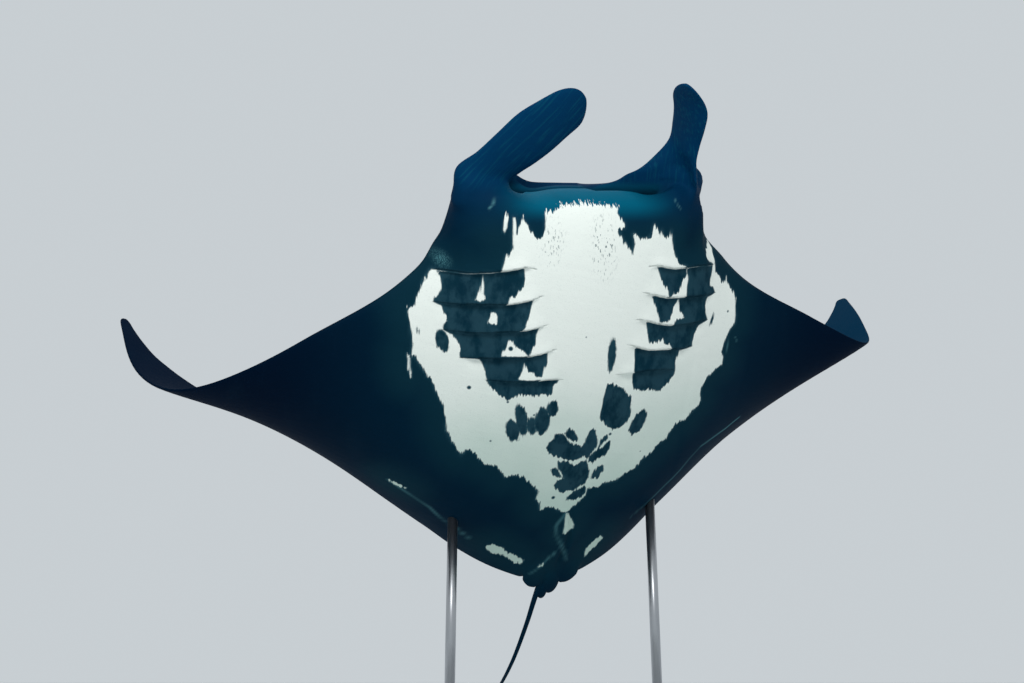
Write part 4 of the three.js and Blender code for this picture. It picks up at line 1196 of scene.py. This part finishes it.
def screw_ring_tree(finish):
    """Socket-head screws on a circle, set down at a place."""
    tree = bpy.data.node_groups.new("screw_ring", "GeometryNodeTree")
    kinds = {"Count": "Int", "Place": "Vector"}
    for name in [*SCREW, "Place"]:
        kind = "NodeSocket" + kinds.get(name, "Float")
        tree.interface.new_socket(name, in_out="INPUT", socket_type=kind)
    tree.interface.new_socket("Screws", in_out="OUTPUT", socket_type="NodeSocketGeometry")
    sizes = tree.nodes.new("NodeGroupInput").outputs

    def add(kind, settings=None, **sockets):
        node = tree.nodes.new("GeometryNode" + kind)
        for key, value in (settings or {}).items():
            setattr(node, key, value)
        for key, value in sockets.items():
            socket = node.inputs[key.replace("_", " ")]
            if isinstance(value, bpy.types.NodeSocket):
                tree.links.new(value, socket)
            else:
                socket.default_value = value
        return node.outputs

    head = add("MeshCylinder", {"fill_type": "NGON"}, Vertices=28, Radius=sizes["Head Radius"],
               Depth=sizes["Head Height"])["Mesh"]
    key = add("MeshCylinder", {"fill_type": "NGON"}, Vertices=6, Radius=sizes["Key Width"],
              Depth=sizes["Head Height"])["Mesh"]
    key = add("Transform", Geometry=key, Scale=(0.55, 0.55, 1.0), Translation=(0, 0, 0.0022))["Geometry"]
    cut = tree.nodes.new("GeometryNodeMeshBoolean")
    cut.operation = "DIFFERENCE"
    tree.links.new(head, cut.inputs["Mesh 1"])
    tree.links.new(key, cut.inputs["Mesh 2"])
    circle = add("MeshCircle", Vertices=sizes["Count"], Radius=sizes["Circle Radius"])["Mesh"]
    ring = add("InstanceOnPoints", Points=circle, Instance=cut.outputs["Mesh"])["Instances"]
    placed = add("Transform", Geometry=ring, Translation=sizes["Place"])["Geometry"]
    real = add("RealizeInstances", Geometry=placed)["Geometry"]
    coated = add("SetMaterial", Geometry=real, Material=finish.material)["Geometry"]
    tree.links.new(coated, tree.nodes.new("NodeGroupOutput").inputs["Screws"])
    return tree


screw_ring = screw_ring_tree(steel)
socket_names = {item.name: item.identifier for item in screw_ring.interface.items_tree
                if item.in_out == "INPUT"}
for side in ("left", "right"):
    low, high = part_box(f"stand_collar_{side}")
    rod_low, rod_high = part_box(f"stand_rod_{side}")
    flange_inside = (rod_high.x - rod_low.x) / 2 + NECK_FOOT
    circle = (flange_inside + (high.x - low.x) / 2) / 2
    flange_top = high.z - (NECK_HEIGHT + RIM_DROP) / 2
    start = bpy.data.objects.new(f"screw_start_{side}", bpy.data.meshes.new("screw_start"))
    bpy.context.scene.collection.objects.link(start)
    step = start.modifiers.new("screws", "NODES")
    step.node_group = screw_ring
    values = dict(SCREW, Place=((low.x + high.x) / 2, (low.y + high.y) / 2,
                                flange_top + SCREW["Head Height"] / 2 - SUNK))
    values["Circle Radius"] = circle
    for name, value in values.items():
        step[socket_names[name]] = value
    bpy.context.view_layer.update()
    mesh = bpy.data.meshes.new_from_object(start.evaluated_get(bpy.context.evaluated_depsgraph_get()))
    bpy.data.objects.remove(start)
    screws = bpy.data.objects.new(f"screws_{side}", mesh)
    bpy.context.scene.collection.objects.link(screws)
    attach(screws, "root")

# ---------------------------------------------------------------- floor, light and camera
# A plain pale floor under soft studio light. The camera looks up at the belly from in front.

floor_finish = Finish("floor", Roughness=0.9)
floor_finish.set(floor_finish.shader, {"Base Color": colour(226, 229, 231)})
FAR = 60
floor = solid_object("floor", np.array([
    (-FAR, -FAR, 0), (FAR, -FAR, 0), (FAR, FAR, 0), (-FAR, FAR, 0)]), [(0, 1, 2, 3)])
floor.data.materials.append(floor_finish.material)

world = bpy.data.worlds.new("studio")
world.use_nodes = True
world.node_tree.nodes["Background"].inputs["Color"].default_value = (0.80, 0.86, 0.90, 1)
world.node_tree.nodes["Background"].inputs["Strength"].default_value = 0.72
bpy.context.scene.world = world


def soft_light(name, place, target, size, power):
    """A round area light aimed at a place."""
    lamp = bpy.data.lights.new(name, "AREA")
    lamp.shape, lamp.size, lamp.energy = "DISK", size, power
    holder = bpy.data.objects.new(name, lamp)
    holder.location = place
    holder.rotation_euler = (Vector(target) - Vector(place)).to_track_quat("-Z", "Y").to_euler()
    bpy.context.scene.collection.objects.link(holder)


soft_light("front_light", (-0.3, -3.7, 3.1), (0, -0.5, 2.1), 1.2, 52)
soft_light("top_light", (-0.5, 0.5, 6.5), (0, 0, 1.7), 4.0, 70)

bpy.context.scene.view_settings.view_transform = "Standard"
LOOKS_UP = 18                        # degrees above the horizontal
camera = bpy.data.objects.new("camera", bpy.data.cameras.new("camera"))
camera.data.sensor_width = 36
camera.data.lens = 36.25
camera.data.clip_end = 200
camera.location = (-0.2694, -4.9285, 0.3584)
camera.rotation_euler = (math.radians(90 + LOOKS_UP), 0, 0)
bpy.context.scene.collection.objects.link(camera)
bpy.context.scene.camera = camera
